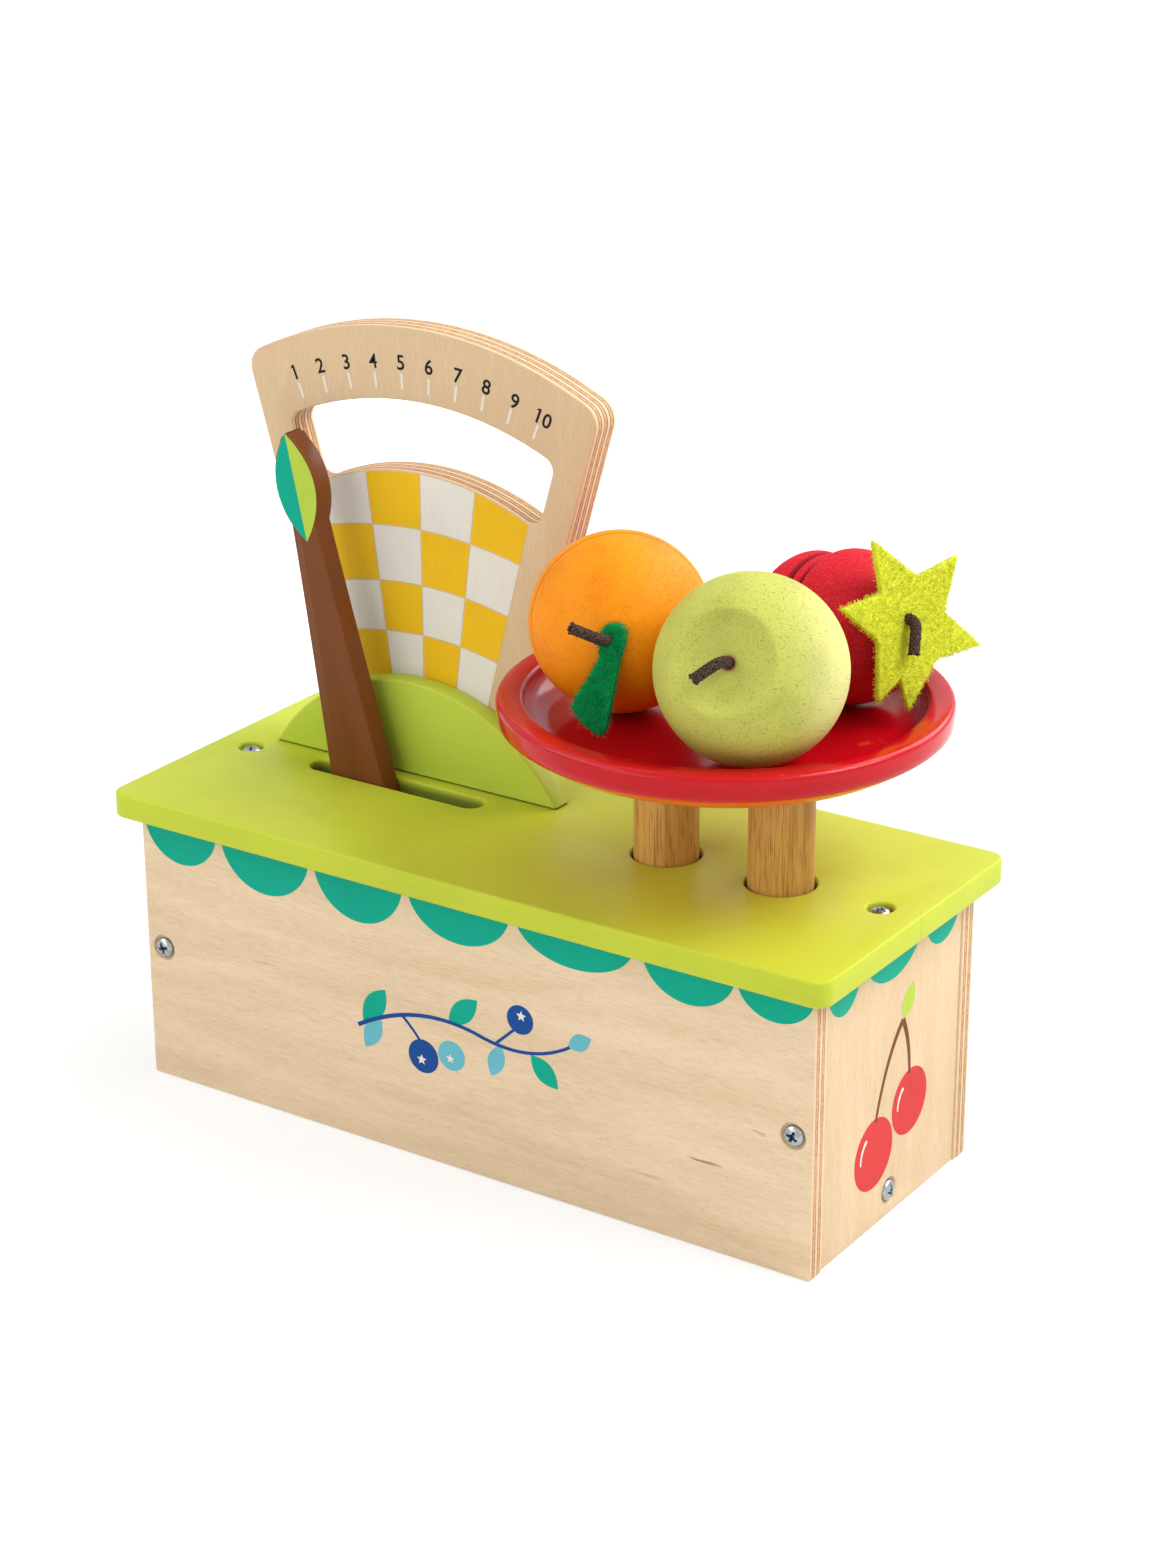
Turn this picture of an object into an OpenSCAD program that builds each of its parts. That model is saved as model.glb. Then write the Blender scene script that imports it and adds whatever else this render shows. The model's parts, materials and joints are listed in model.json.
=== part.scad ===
// Toy kitchen scale of painted plywood: a sprung tray on two dowel posts drives a swinging
// pointer in front of a numbered dial, and three turned wooden fruits lie on the tray.
// Millimetres, +Z up. The origin is the middle of the base's underside and the front faces -Y.

/* [Box] */
// Distance from the box's left end to the middle of the dial
dial_room = 60.4; // [56:0.2:70]
// Distance from the middle of the tray to the box's right end
tray_room = 55.5; // [50:0.5:66]
// Depth of the box over the front and back panels
box_d = 88.5; // [80:0.5:104]
// Height of the panels
panel_h = 84.5; // [80:0.5:96]
// Thickness of the front and back panels
side_t = 6.5; // [5:0.5:9]
// Thickness of the end panels
end_t = 12; // [9:0.5:15]
// Thickness of the bottom board
bottom_t = 15; // [12:0.5:17]

/* [Top board] */
// How far the top board stands out past the panels at the ends
lip_x = 6.25; // [3:0.25:10]
// How far the top board stands out past the panels at the front and back
lip_y = 6.75; // [3:0.25:10]
// Thickness of the top board
top_t = 7.5; // [6:0.5:10]
// Radius of the top board's upright corners
top_corner_r = 5; // [2:0.5:8]
// Gap between the pointer at the ends of its swing and the ends of its slot
slot_room = 7.4; // [2:0.2:9]
// Gap between the pointer and each side of its slot
slot_gap = 0.6; // [0.4:0.1:1.5]

/* [Dial] */
// Gap between the slot's middle line and the front of the hill
hill_gap = 8.2; // [7:0.1:11]
// Width of the hill along the top board
hill_w = 102; // [80:1:104]
// Height of the hill
hill_h = 28.8; // [20:0.2:34]
// Thickness of the hill
hill_t = 6.5; // [5:0.5:9]
// Thickness of the dial
dial_t = 10; // [8:0.5:13]
// Height of the dial over the top board
dial_h = 133; // [128:0.5:142]
// Radius of the dial's upper edge
dial_r = 127.8; // [118:0.2:140]
// Width of the dial at the top board
dial_foot_w = 56.7; // [50:0.1:64]
// Lean of each side of the dial from upright, in degrees
dial_flare = 16; // [12:0.5:18]
// Radius of the dial's upper corners
dial_corner_r = 6.5; // [3:0.5:9]
// Width of the band that carries the numbers, over the window
band_w = 21.4; // [16:0.2:24]
// Height of the window at its middle
window_h = 20.8; // [12:0.2:24]
// Width of the frame at each side of the window
frame_w = 10.2; // [8:0.2:14]
// Radius of the window's corners
window_corner_r = 4; // [2:0.5:6]

/* [Pointer] */
// Height of the pointer's pivot over the bottom board
pivot_rise = 21.5; // [18:0.5:25]
// Distance from the pivot to the pointer's tip
pointer_reach = 161; // [150:0.5:166]
// Thickness of the pointer
pointer_t = 7; // [5:0.5:9]
// Width of the pointer where it leaves the slot
pointer_root_w = 19; // [15:0.5:21]
// Width of the pointer's neck, under the leaf
pointer_neck_w = 8.8; // [7:0.2:11]
// Length of the leaf at the pointer's head
leaf_l = 32.5; // [26:0.5:36]
// Width of the leaf at the pointer's head
leaf_w = 14.6; // [12:0.2:18]
// Lean of the pointer to the left at rest, in degrees
rest_lean = 12.3; // [11:0.1:13]
// Whole swing of the pointer, in degrees
pointer_swing = 26; // [24:0.1:27]
// Diameter of the pointer's axle
axle_d = 5; // [4:0.5:6]
// Diameter of the peg that drives the pointer
peg_d = 4; // [3:0.5:5]

/* [Tray] */
// Gap between the tray's rim and the side of the dial
tray_gap = 6.7; // [5:0.1:12]
// Distance between the two posts
post_pitch = 37; // [34:0.5:42]
// Diameter of the posts
post_d = 18.4; // [14:0.2:20]
// Gap all round between a post and its hole in the top board
post_gap = 0.8; // [0.5:0.1:1.5]
// Gap between the fruits and the tray's rim
fruit_room = 2.2; // [1:0.2:6]
// Height of the tray
tray_h = 12; // [10:0.5:16]
// Thickness of the tray's floor
floor_t = 4.5; // [4:0.25:6]
// Width of the tray's rim
rim_w = 7.4; // [5:0.2:9]
// Distance from the top board up to the tray's underside at rest
tray_clear = 39.5; // [34:0.5:46]
// How far the tray goes down
tray_travel = 13; // [11:0.5:14]

/* [Carriage] */
// Depth of the cross bar under the posts, from front to back
bar_d = 24; // [22:0.5:30]
// Height of the cross bar
bar_h = 12; // [11:0.5:14]
// Outer diameter of the stop rings on the posts
ring_d = 28; // [25:0.5:32]
// Height of the stop rings
ring_h = 8; // [6:0.5:12]
// Outer diameter of the springs
spring_d = 15; // [13:0.5:16]
// Diameter of the spring wire
wire_d = 1.2; // [1:0.1:1.4]
// Turns of each spring
spring_turns = 7; // [5:1:8]

/* [Fruits] */
// Diameter of the orange
orange_d = 49.8; // [44:0.2:52]
// Diameter of the apple
apple_d = 51.4; // [46:0.2:53]
// Diameter of the tomato's front ball
tomato_d = 43; // [38:0.2:45]
// Diameter of the tomato's rear ball
tomato_tail_d = 39; // [36:0.2:42]
// Distance between the middles of the tomato's two balls
tomato_step = 9.5; // [7:0.5:12]
// Diameter of the cord that the stems are cut from
stem_d = 2.6; // [2:0.1:3.2]
// Thickness of the felt
felt_t = 1.6; // [1:0.1:2.2]
// Length of the orange's felt leaf below the stem
orange_leaf_l = 27; // [22:0.5:28]
// Radius of the tomato's felt star
star_r = 25; // [20:0.5:26]

/* [Screws] */
// Diameter of the screw heads
screw_head_d = 6.2; // [5:0.1:7]
// Height of the screw heads
screw_head_h = 2; // [1.5:0.1:2.4]
// Diameter of the screw shanks
screw_d = 3; // [2.4:0.1:3.4]
// Length of the screws under the head
screw_l = 18; // [15:0.5:20]

/* [Hidden] */
$fn = 96;

// Overrun of every cut past the face that it opens
cut = 0.5;
// Glue and fitting gap all round a part that is pressed or glued into its seat
fit_gap = 0.05;
// Running gap of the pointer on its axle, on the radius
running_gap = 0.05;
// Gap between parts that only just clear each other
seat_gap = 0.3;
// Gap between a screw and the panel that it passes through
shank_gap = 0.3;
// Sinking of the screw heads into the top board and into the panels
top_head_sink = 0.4;
panel_head_sink = 1;
// Gap round a sunk screw head
head_gap = 0.7;
// Setting back of the end panels' outer faces from the long panels' ends
end_recess = 0.5;

birch = [0.90, 0.80, 0.66];
pale_birch = [0.85, 0.74, 0.58];
lime = [0.77, 0.80, 0.24];
grass = [0.67, 0.73, 0.20];
bark = [0.48, 0.29, 0.16];
cherry_red = [0.78, 0.13, 0.18];
dowel = [0.75, 0.57, 0.33];
steel = [0.72, 0.73, 0.75];
orange_skin = [0.95, 0.57, 0.13];
apple_skin = [0.79, 0.82, 0.44];
tomato_skin = [0.80, 0.11, 0.17];
leaf_felt = [0.0, 0.55, 0.28];
star_felt = [0.78, 0.84, 0.18];
cord = [0.22, 0.15, 0.14];

// Each fruit's stem points along a heading, anticlockwise from +X, and a rise over the level.
orange_heading = -65;
orange_rise = 9;
apple_heading = -80;
apple_rise = 24;
tomato_heading = -13;
orange_r = orange_d / 2;
apple_r = apple_d / 2;
tomato_r = tomato_d / 2;
tomato_tail_r = tomato_tail_d / 2;
// Both balls of the tomato lie on the tray, so the smaller one behind tips its stem up.
tomato_rise = asin((tomato_r - tomato_tail_r) / tomato_step);

// The apple and the tomato lie at these bearings, the apple from the orange, the tomato from the apple.
apple_bearing = -16.5;
tomato_bearing = 91.3;
fruit_gap = 1.9;
star_room = 6.5;
apple_shift = (orange_r + apple_r + fruit_gap) * [cos(apple_bearing), sin(apple_bearing)];
tomato_shift = apple_shift + (apple_r + tomato_r + star_room) * [cos(tomato_bearing), sin(tomato_bearing)];
// The tray's middle lies between the orange, the apple and the tomato, and its rim goes round them.
middle_shares = [0.44, 0.23, 0.33];
tray_shift = middle_shares * [[0, 0], apple_shift, tomato_shift];
rim_h = tray_h - floor_t;
rim_inner_r = fruit_room
    + max(reach([0, 0], orange_r), reach(apple_shift, apple_r), reach(tomato_shift, tomato_r));
tray_r = rim_inner_r + rim_w;
floor_r = rim_inner_r - rim_h * 1.15;

// The box is as long as the dial and the tray beside it need.
top_z = panel_h + top_t;
dial_half_at_rim = dial_foot_w / 2 + (tray_clear + tray_h) * tan(dial_flare);
box_l = dial_room + dial_half_at_rim + tray_gap + tray_r + tray_room;
dial_x = dial_room - box_l / 2;
tray_x = box_l / 2 - tray_room;
inner_half_l = box_l / 2 - end_t;
inner_half_d = box_d / 2 - side_t;
screw_x = box_l / 2 - end_t / 2;
screw_r = screw_d / 2;
post_r = post_d / 2;
post_xs = [tray_x - post_pitch / 2, tray_x + post_pitch / 2];

// The hill stands behind the slot and the dial stands against the hill's back.
hill_y = hill_gap;
dial_y = hill_y + hill_t;
hill_r = (pow(hill_w / 2, 2) + pow(hill_h, 2)) / (2 * hill_h);
dial_centre_z = top_z + dial_h - dial_r;
// The dial's sides meet at a point under the top board.
flare_depth = dial_foot_w / 2 / tan(dial_flare);
flare_point = [0, top_z - flare_depth - dial_centre_z];
window_top_r = dial_r - band_w;
window_low_r = window_top_r - window_h;
// Places of the screws under the dial and the hill, as shares of half their widths
dial_screw_share = 0.62;
hill_screw_share = 0.66;

pivot_z = bottom_t + pivot_rise;
pivot_drop = top_z - pivot_z;
hub_r = axle_d * 2;
// Angle of the pointer past upright at the end of its swing
end_lean = pointer_swing - rest_lean;
arm_l = tray_travel / (sin(rest_lean) + sin(end_lean));
arm_w = peg_d * 2.75;
arm_end_r = peg_d * 1.5;
peg_gap = 0.3;
peg_x = dial_x + arm_l * cos(rest_lean);
peg_z = pivot_z + arm_l * sin(rest_lean);
// The peg slides this far along the arm while the pointer swings.
peg_near = arm_l * cos(rest_lean);
peg_far = peg_near / cos(max(rest_lean, end_lean));
pointer_taper_power = 1.1;
max_lean = max(rest_lean, end_lean);
slot_w = pointer_t + 2 * slot_gap;
slot_l = 2 * (pivot_drop * tan(max_lean) + pointer_root_w / 2 / cos(max_lean) + slot_room);
leaf_tip_r = 3.2;
axle_socket = 3.5;
axle_end_gap = 0.2;
spacer_wall = 3.4;

bar_bottom_z = peg_z - bar_h / 2;
bar_top_z = peg_z + bar_h / 2;
bar_left_x = peg_x - arm_end_r;
bar_margin = 5;
bar_right_x = post_xs[1] + post_r + bar_margin;
fork_gap = 1.2;
bar_gap_end_x = dial_x + peg_far + arm_end_r + fork_gap;
post_socket = 3;
tray_socket = 2.5;
bar_seat = 2;
base_seat = 4;
spring_seat_gap = 0.8;
spring_mean_r = (spring_d - wire_d) / 2;
stop_gap = 0.1;
tray_z = top_z + tray_clear;
floor_z = tray_z + floor_t;
fruit_z = floor_z + seat_gap;
orange_at = [tray_x, 0] - tray_shift;
apple_at = orange_at + apple_shift;
tomato_at = orange_at + tomato_shift;
stem_bore_depth = 9;
stem_gap = 0.1;
felt_gap = 0.3;

// How far a fruit that lies at a shift from the orange reaches from the tray's middle, at the rim's height
function reach(shift, r) = norm(shift - tray_shift) + sqrt(2 * r * rim_h - pow(rim_h, 2));

// Points along a round stretch about a centre, from one angle to another
function arc(centre, r, from, to, steps = 12) =
    [for (i = [0:steps]) centre + r * [cos(from + (to - from) * i / steps), sin(from + (to - from) * i / steps)]];

// Middle of the circle that touches the dial's right side, moved in by inset, and lies on reach
function corner_centre(inset, reach) =
    let (along = [sin(dial_flare), cos(dial_flare)],
         across = [cos(dial_flare), -sin(dial_flare)],
         from = flare_point - inset * across,
         back = from * along)
    from + along * (sqrt(pow(back, 2) - from * from + pow(reach, 2)) - back);

function mirrored(points) = [for (i = [len(points) - 1:-1:0]) [-points[i][0], points[i][1]]];

function bearing(point) = atan2(point[1], point[0]);

// Faces of a closed tube through rings of points, with an equal number of sides in each ring
function tube_faces(rings, sides) = concat(
    [for (i = [0:rings - 2], j = [0:sides - 1])
        let (a = i * sides + j, b = i * sides + (j + 1) % sides)
        each [[a, b, a + sides], [b, b + sides, a + sides]]],
    [for (j = [1:sides - 2]) each [[0, j + 1, j],
        [(rings - 1) * sides, (rings - 1) * sides + j, (rings - 1) * sides + j + 1]]]);

// Plate in the upright XZ plane, from a flat outline, with its front face at y
module upright(y, thickness) {
    translate([0, y + thickness, 0]) rotate([90, 0, 0]) linear_extrude(thickness) children();
}

module rounded_plate(length, depth, thickness, r) {
    linear_extrude(thickness) union() {
        square([length - 2 * r, depth], center = true);
        square([length, depth - 2 * r], center = true);
        for (x = [-1, 1], y = [-1, 1])
            translate([x * (length / 2 - r), y * (depth / 2 - r)]) circle(r);
    }
}

module stadium(length, width) {
    square([length - width, width], center = true);
    for (side = [-1, 1]) translate([side * (length - width) / 2, 0]) circle(width / 2);
}

// Round-headed screw with its head's seat at the origin and its shank along -Z
module screw() {
    recess_l = screw_head_d * 0.62;
    recess_w = screw_head_d * 0.15;
    recess_h = screw_head_h * 0.6;
    tip_l = screw_l * 0.2;
    dome_r = screw_head_d * 0.85;
    difference() {
        intersection() {
            cylinder(h = screw_head_h, d = screw_head_d);
            translate([0, 0, screw_head_h - dome_r]) sphere(dome_r);
        }
        for (turn = [0, 90]) rotate([0, 0, turn + 20])
            translate([-recess_l / 2, -recess_w / 2, screw_head_h - recess_h])
                cube([recess_l, recess_w, recess_h + cut]);
    }
    translate([0, 0, tip_l - screw_l]) cylinder(h = screw_l - tip_l, r = screw_r);
    translate([0, 0, -screw_l]) cylinder(h = tip_l, r1 = screw_r * 0.2, r2 = screw_r);
}

// Space that a screw needs: a pilot hole, a wider hole through the first board and the head's sink
module screw_hole(first_board, sink) {
    translate([0, 0, -screw_l - cut]) cylinder(h = screw_l + cut, r = screw_r + fit_gap);
    translate([0, 0, -first_board]) cylinder(h = first_board, r = screw_r + shank_gap);
    cylinder(h = sink + cut, d = screw_head_d + 2 * head_gap);
}

// The places of each group of screws, so that screws and holes always agree
module at_panel_screws(side) {
    for (x = [-screw_x, screw_x])
        translate([x, side * (box_d / 2 - panel_head_sink), panel_h / 2]) rotate([-side * 90, 0, 0]) children();
}

module at_end_screw(side) {
    translate([side * (box_l / 2 - end_recess - panel_head_sink), 0, bottom_t / 2]) rotate([0, side * 90, 0]) children();
}

module at_top_screws() {
    for (x = [-screw_x, screw_x])
        translate([x, 0, top_z - top_head_sink - screw_head_h]) children();
}

module at_dial_screws() {
    for (side = [-1, 1])
        translate([dial_x + side * dial_screw_share * dial_foot_w / 2, dial_y + dial_t / 2, panel_h])
            rotate([180, 0, 0]) children();
}

module at_hill_screws() {
    for (side = [-1, 1])
        translate([dial_x + side * hill_screw_share * hill_w / 2, hill_y + hill_t / 2, panel_h])
            rotate([180, 0, 0]) children();
}

module at_post_screws() {
    for (x = post_xs) translate([x, 0, bar_bottom_z + bar_seat]) rotate([180, 0, 0]) children();
}

module long_panel(side) {
    color(birch) difference() {
        translate([-box_l / 2, side > 0 ? inner_half_d : -box_d / 2, 0]) cube([box_l, side_t, panel_h]);
        at_panel_screws(side) screw_hole(side_t, panel_head_sink);
        translate([dial_x, side * inner_half_d, pivot_z]) rotate([-side * 90, 0, 0])
            translate([0, 0, -cut]) cylinder(h = axle_socket + cut, d = axle_d + 2 * fit_gap);
    }
}

module end_panel(side) {
    color(birch) difference() {
        translate([side > 0 ? inner_half_l : end_recess - box_l / 2, -inner_half_d, 0])
            cube([end_t - end_recess, 2 * inner_half_d, panel_h]);
        at_panel_screws(-1) screw_hole(side_t, panel_head_sink);
        at_panel_screws(1) screw_hole(side_t, panel_head_sink);
        at_end_screw(side) screw_hole(end_t, panel_head_sink);
        at_top_screws() screw_hole(top_t, top_head_sink);
    }
}

module bottom_board() {
    color(pale_birch) difference() {
        translate([-inner_half_l, -inner_half_d, 0]) cube([2 * inner_half_l, 2 * inner_half_d, bottom_t]);
        for (side = [-1, 1]) at_end_screw(side) screw_hole(end_t, panel_head_sink);
        for (x = post_xs) translate([x, 0, bottom_t - base_seat])
            cylinder(h = base_seat + cut, d = spring_d + 2 * spring_seat_gap);
    }
}

module top_board() {
    color(lime) difference() {
        translate([0, 0, panel_h]) rounded_plate(box_l + 2 * lip_x, box_d + 2 * lip_y, top_t, top_corner_r);
        for (x = post_xs) translate([x, 0, panel_h - cut]) cylinder(h = top_t + 2 * cut, r = post_r + post_gap);
        translate([dial_x, 0, panel_h - cut]) linear_extrude(top_t + 2 * cut) stadium(slot_l, slot_w);
        at_top_screws() screw_hole(top_t, screw_head_h + top_head_sink);
        at_dial_screws() screw_hole(top_t, 0);
        at_hill_screws() screw_hole(top_t, 0);
    }
}

module hill_panel() {
    color(grass) difference() {
        upright(hill_y, hill_t) translate([dial_x, top_z]) intersection() {
            translate([0, hill_h - hill_r]) circle(hill_r);
            translate([-hill_w / 2, 0]) square([hill_w, hill_h]);
        }
        at_hill_screws() screw_hole(top_t, 0);
    }
}

// Outline of the dial about the middle of its round upper edge
module dial_outline() {
    centre = corner_centre(dial_corner_r, dial_r - dial_corner_r);
    foot = top_z - dial_centre_z;
    right = concat([[dial_foot_w / 2, foot]],
        arc(centre, dial_corner_r, -dial_flare, bearing(centre), 8),
        arc([0, 0], dial_r, bearing(centre), 90, 24));
    polygon(concat(right, mirrored(right)));
}

module window_outline() {
    low = corner_centre(frame_w + window_corner_r, window_low_r + window_corner_r);
    high = corner_centre(frame_w + window_corner_r, window_top_r - window_corner_r);
    right = concat(arc([0, 0], window_low_r, 90, bearing(low), 16),
        arc(low, window_corner_r, bearing(low) - 180, -dial_flare, 8),
        arc(high, window_corner_r, -dial_flare, bearing(high), 8),
        arc([0, 0], window_top_r, bearing(high), 90, 16));
    polygon(concat(right, mirrored(right)));
}

module dial_panel() {
    color(birch) difference() {
        upright(dial_y, dial_t) translate([dial_x, dial_centre_z]) difference() {
            dial_outline();
            window_outline();
        }
        at_dial_screws() screw_hole(top_t, 0);
    }
}

// Leaf between two equal arcs, with a blunt tip
module leaf_outline() {
    r = (pow(leaf_l / 2, 2) + pow(leaf_w / 2, 2)) / leaf_w;
    intersection() {
        translate([r - leaf_w / 2, 0]) circle(r);
        translate([leaf_w / 2 - r, 0]) circle(r);
    }
    translate([0, leaf_l / 2 - leaf_tip_r]) circle(leaf_tip_r * 0.8);
}

// The pointer upright, with its pivot at the origin and its driven arm along +X
module pointer_outline() {
    neck_at = pointer_reach - leaf_l * 0.82;
    steps = 10;
    side = [for (i = [0:steps])
        let (share = i / steps)
        [pointer_neck_w / 2 + (pointer_root_w - pointer_neck_w) / 2 * pow(1 - share, pointer_taper_power),
         pivot_drop + (neck_at - pivot_drop) * share]];
    difference() {
        union() {
            circle(hub_r);
            polygon(concat([[pointer_root_w / 2, 0]], side, mirrored(side), [[-pointer_root_w / 2, 0]]));
            translate([0, pointer_reach - leaf_l / 2]) leaf_outline();
            translate([0, -arm_w / 2]) square([peg_near, arm_w]);
            translate([(peg_near + peg_far) / 2, 0]) stadium(peg_far - peg_near + 2 * arm_end_r, 2 * arm_end_r);
        }
        circle(d = axle_d + 2 * running_gap);
        translate([(peg_near + peg_far) / 2, 0])
            stadium(peg_far - peg_near + peg_d + 4 * peg_gap, peg_d + 2 * peg_gap);
    }
}

module pointer() {
    color(bark) translate([dial_x, 0, pivot_z]) rotate([0, -rest_lean, 0])
        upright(-pointer_t / 2, pointer_t) pointer_outline();
}

module pointer_axle() {
    length = 2 * (inner_half_d + axle_socket - axle_end_gap);
    color(steel) translate([dial_x, 0, pivot_z]) rotate([90, 0, 0]) cylinder(h = length, d = axle_d, center = true);
}

module axle_spacer(side) {
    length = inner_half_d - pointer_t / 2 - seat_gap;
    color(dowel) translate([dial_x, side * inner_half_d, pivot_z]) rotate([side * 90, 0, 0]) difference() {
        cylinder(h = length, d = axle_d + 2 * spacer_wall);
        translate([0, 0, -cut]) cylinder(h = length + 2 * cut, d = axle_d + 2 * fit_gap);
    }
}

// Half outline of the tray, turned about the upright axis
module tray_outline() {
    rim_round = 1.2;
    under_r = tray_r * 0.81;
    shoulder_r = tray_r * 0.978;
    shoulder_z = tray_h * 0.32;
    wall_h = rim_h - rim_round * 0.6;
    wall_w = rim_inner_r - floor_r;
    wall = [for (i = [0:10]) let (turn = 9 * i)
        [floor_r + wall_w * sin(turn), floor_t + wall_h * (1 - cos(turn))]];
    polygon(concat([[0, 0], [under_r, 0], [shoulder_r, shoulder_z]],
        arc([tray_r - rim_round, tray_h - rim_round], rim_round, 0, 90, 6),
        [for (i = [len(wall) - 1:-1:0]) wall[i]], [[0, floor_t]]));
}

module tray() {
    color(cherry_red) translate([tray_x, 0, tray_z]) difference() {
        rotate_extrude() tray_outline();
        for (x = post_xs) translate([x - tray_x, 0, -cut]) cylinder(h = tray_socket + cut, r = post_r + fit_gap);
    }
}

module post(x) {
    low_z = bar_top_z - post_socket;
    color(dowel) difference() {
        translate([x, 0, low_z]) cylinder(h = tray_z + tray_socket - low_z, r = post_r);
        at_post_screws() screw_hole(bar_h - bar_seat - post_socket, 0);
    }
}

module stop_ring(x) {
    color(dowel) translate([x, 0, panel_h - stop_gap - ring_h]) difference() {
        cylinder(h = ring_h, d = ring_d);
        translate([0, 0, -cut]) cylinder(h = ring_h + 2 * cut, r = post_r + fit_gap);
    }
}

module cross_bar() {
    color(pale_birch) difference() {
        translate([bar_left_x, -bar_d / 2, bar_bottom_z]) cube([bar_right_x - bar_left_x, bar_d, bar_h]);
        translate([bar_left_x - cut, -slot_w / 2, bar_bottom_z - cut])
            cube([bar_gap_end_x - bar_left_x + cut, slot_w, bar_h + 2 * cut]);
        translate([peg_x, 0, peg_z]) rotate([90, 0, 0])
            cylinder(h = bar_d + 2 * cut, d = peg_d + 2 * fit_gap, center = true);
        for (x = post_xs) {
            translate([x, 0, bar_top_z - post_socket]) cylinder(h = post_socket + cut, r = post_r + fit_gap);
            translate([x, 0, bar_bottom_z - cut]) cylinder(h = bar_seat + cut, d = spring_d + 2 * spring_seat_gap);
        }
        at_post_screws() screw_hole(bar_h - bar_seat - post_socket, 0);
    }
}

module drive_peg() {
    color(steel) translate([peg_x, 0, peg_z]) rotate([90, 0, 0]) cylinder(h = bar_d, d = peg_d, center = true);
}

// Coil spring between its seat in the base and its seat in the cross bar
module spring(x) {
    sides = 6;
    rings_per_turn = 12;
    low_z = bottom_t - base_seat + wire_d / 2 + stop_gap;
    high_z = bar_bottom_z + bar_seat - wire_d / 2 - stop_gap;
    rings = spring_turns * rings_per_turn;
    points = [for (i = [0:rings], j = [0:sides - 1])
        let (turn = 360 * i / rings_per_turn, round = 360 * j / sides,
             r = spring_mean_r + wire_d / 2 * cos(round))
        [r * cos(turn), r * sin(turn), low_z + (high_z - low_z) * i / rings + wire_d / 2 * sin(round)]];
    color(steel) translate([x, 0, 0]) polyhedron(points = points, faces = tube_faces(rings + 1, sides));
}

// Puts a thing that stands on +Z at a point, along a heading and a rise; its +X then hangs down.
module along(at, heading, rise) {
    translate(at) rotate([0, 90 - rise, heading]) children();
}

// Stub of cord from the bottom of its bore, straight up to lead, round a bend and on for a tail
module stem(bore_end, lead, bend, tail) {
    sides = 16;
    steps = 10;
    r = stem_d / 2;
    bend_r = stem_d * 1.3;
    // Each station is [x, z, lean].
    stations = concat([[0, bore_end + stem_gap, 0]],
        [for (i = [0:steps]) let (turn = bend * i / steps)
            [bend_r * (1 - cos(turn)), lead + bend_r * sin(turn), turn]],
        [[bend_r * (1 - cos(bend)) + tail * sin(bend), lead + bend_r * sin(bend) + tail * cos(bend), bend]]);
    points = [for (s = stations, j = [0:sides - 1])
        let (round = 360 * j / sides)
        [s[0] + r * cos(round) * cos(s[2]), -r * sin(round), s[1] - r * cos(round) * sin(s[2])]];
    color(cord) polyhedron(points = points, faces = tube_faces(len(stations), sides));
}

module stem_bore(surface) {
    translate([0, 0, surface - stem_bore_depth]) cylinder(h = stem_bore_depth + apple_r, d = stem_d + 2 * stem_gap);
}

module at_orange() {
    along([orange_at[0], orange_at[1], fruit_z + orange_r], orange_heading, orange_rise) children();
}

module at_apple() {
    along([apple_at[0], apple_at[1], fruit_z + apple_r], apple_heading, apple_rise) children();
}

module at_tomato() {
    along([tomato_at[0], tomato_at[1], fruit_z + tomato_r], tomato_heading, tomato_rise) children();
}

// Turned groove round a fruit
module groove(r, z, width) {
    rotate_extrude() translate([r, z]) circle(d = width);
}

module orange_body() {
    seam_z = -orange_r * 0.16;
    color(orange_skin) at_orange() difference() {
        sphere(orange_r);
        groove(sqrt(pow(orange_r, 2) - pow(seam_z, 2)), seam_z, orange_d * 0.018);
        stem_bore(orange_r);
    }
}

module orange_stem() {
    at_orange() rotate([0, 0, -105]) stem(orange_r - stem_bore_depth, orange_r + felt_t + stem_d / 2, 66, stem_d * 3);
}

// Felt leaf threaded on the stem, hanging down over the front of the orange
module orange_leaf() {
    // Outline of the leaf as shares of its length, each pair down from the stem and to the right of it
    outline_share = [[-0.14, 0.12], [-0.08, 0.22], [0.06, 0.22], [0.24, 0.13], [0.6, 0.08],
        [0.94, 0.02], [0.95, -0.06], [0.85, -0.2], [0.7, -0.3], [0.6, -0.3], [0.45, -0.2], [0.25, -0.09],
        [0.04, -0.11], [-0.08, -0.08]];
    color(leaf_felt) at_orange() translate([0, 0, orange_r + felt_gap]) linear_extrude(felt_t) difference() {
        polygon(orange_leaf_l * outline_share);
        circle(d = stem_d + 2 * felt_gap);
    }
}

module apple_body() {
    dimple_w = apple_d * 0.27;
    dimple_h = apple_r * 0.13;
    dimple_r = (pow(dimple_w, 2) + pow(dimple_h, 2)) / (2 * dimple_h);
    dimple_z = sqrt(pow(apple_r, 2) - pow(dimple_w, 2)) - dimple_h;
    color(apple_skin) at_apple() difference() {
        sphere(apple_r);
        translate([0, 0, dimple_z + dimple_r]) sphere(dimple_r);
        groove(apple_r * cos(28), -apple_r * sin(28), apple_d * 0.008);
        stem_bore(dimple_z);
    }
}

module apple_stem() {
    dimple_z = apple_r * 0.71;
    at_apple() rotate([0, 0, -47])
        stem(dimple_z - stem_bore_depth, apple_r * 0.92, 88, stem_d * 3);
}

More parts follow.
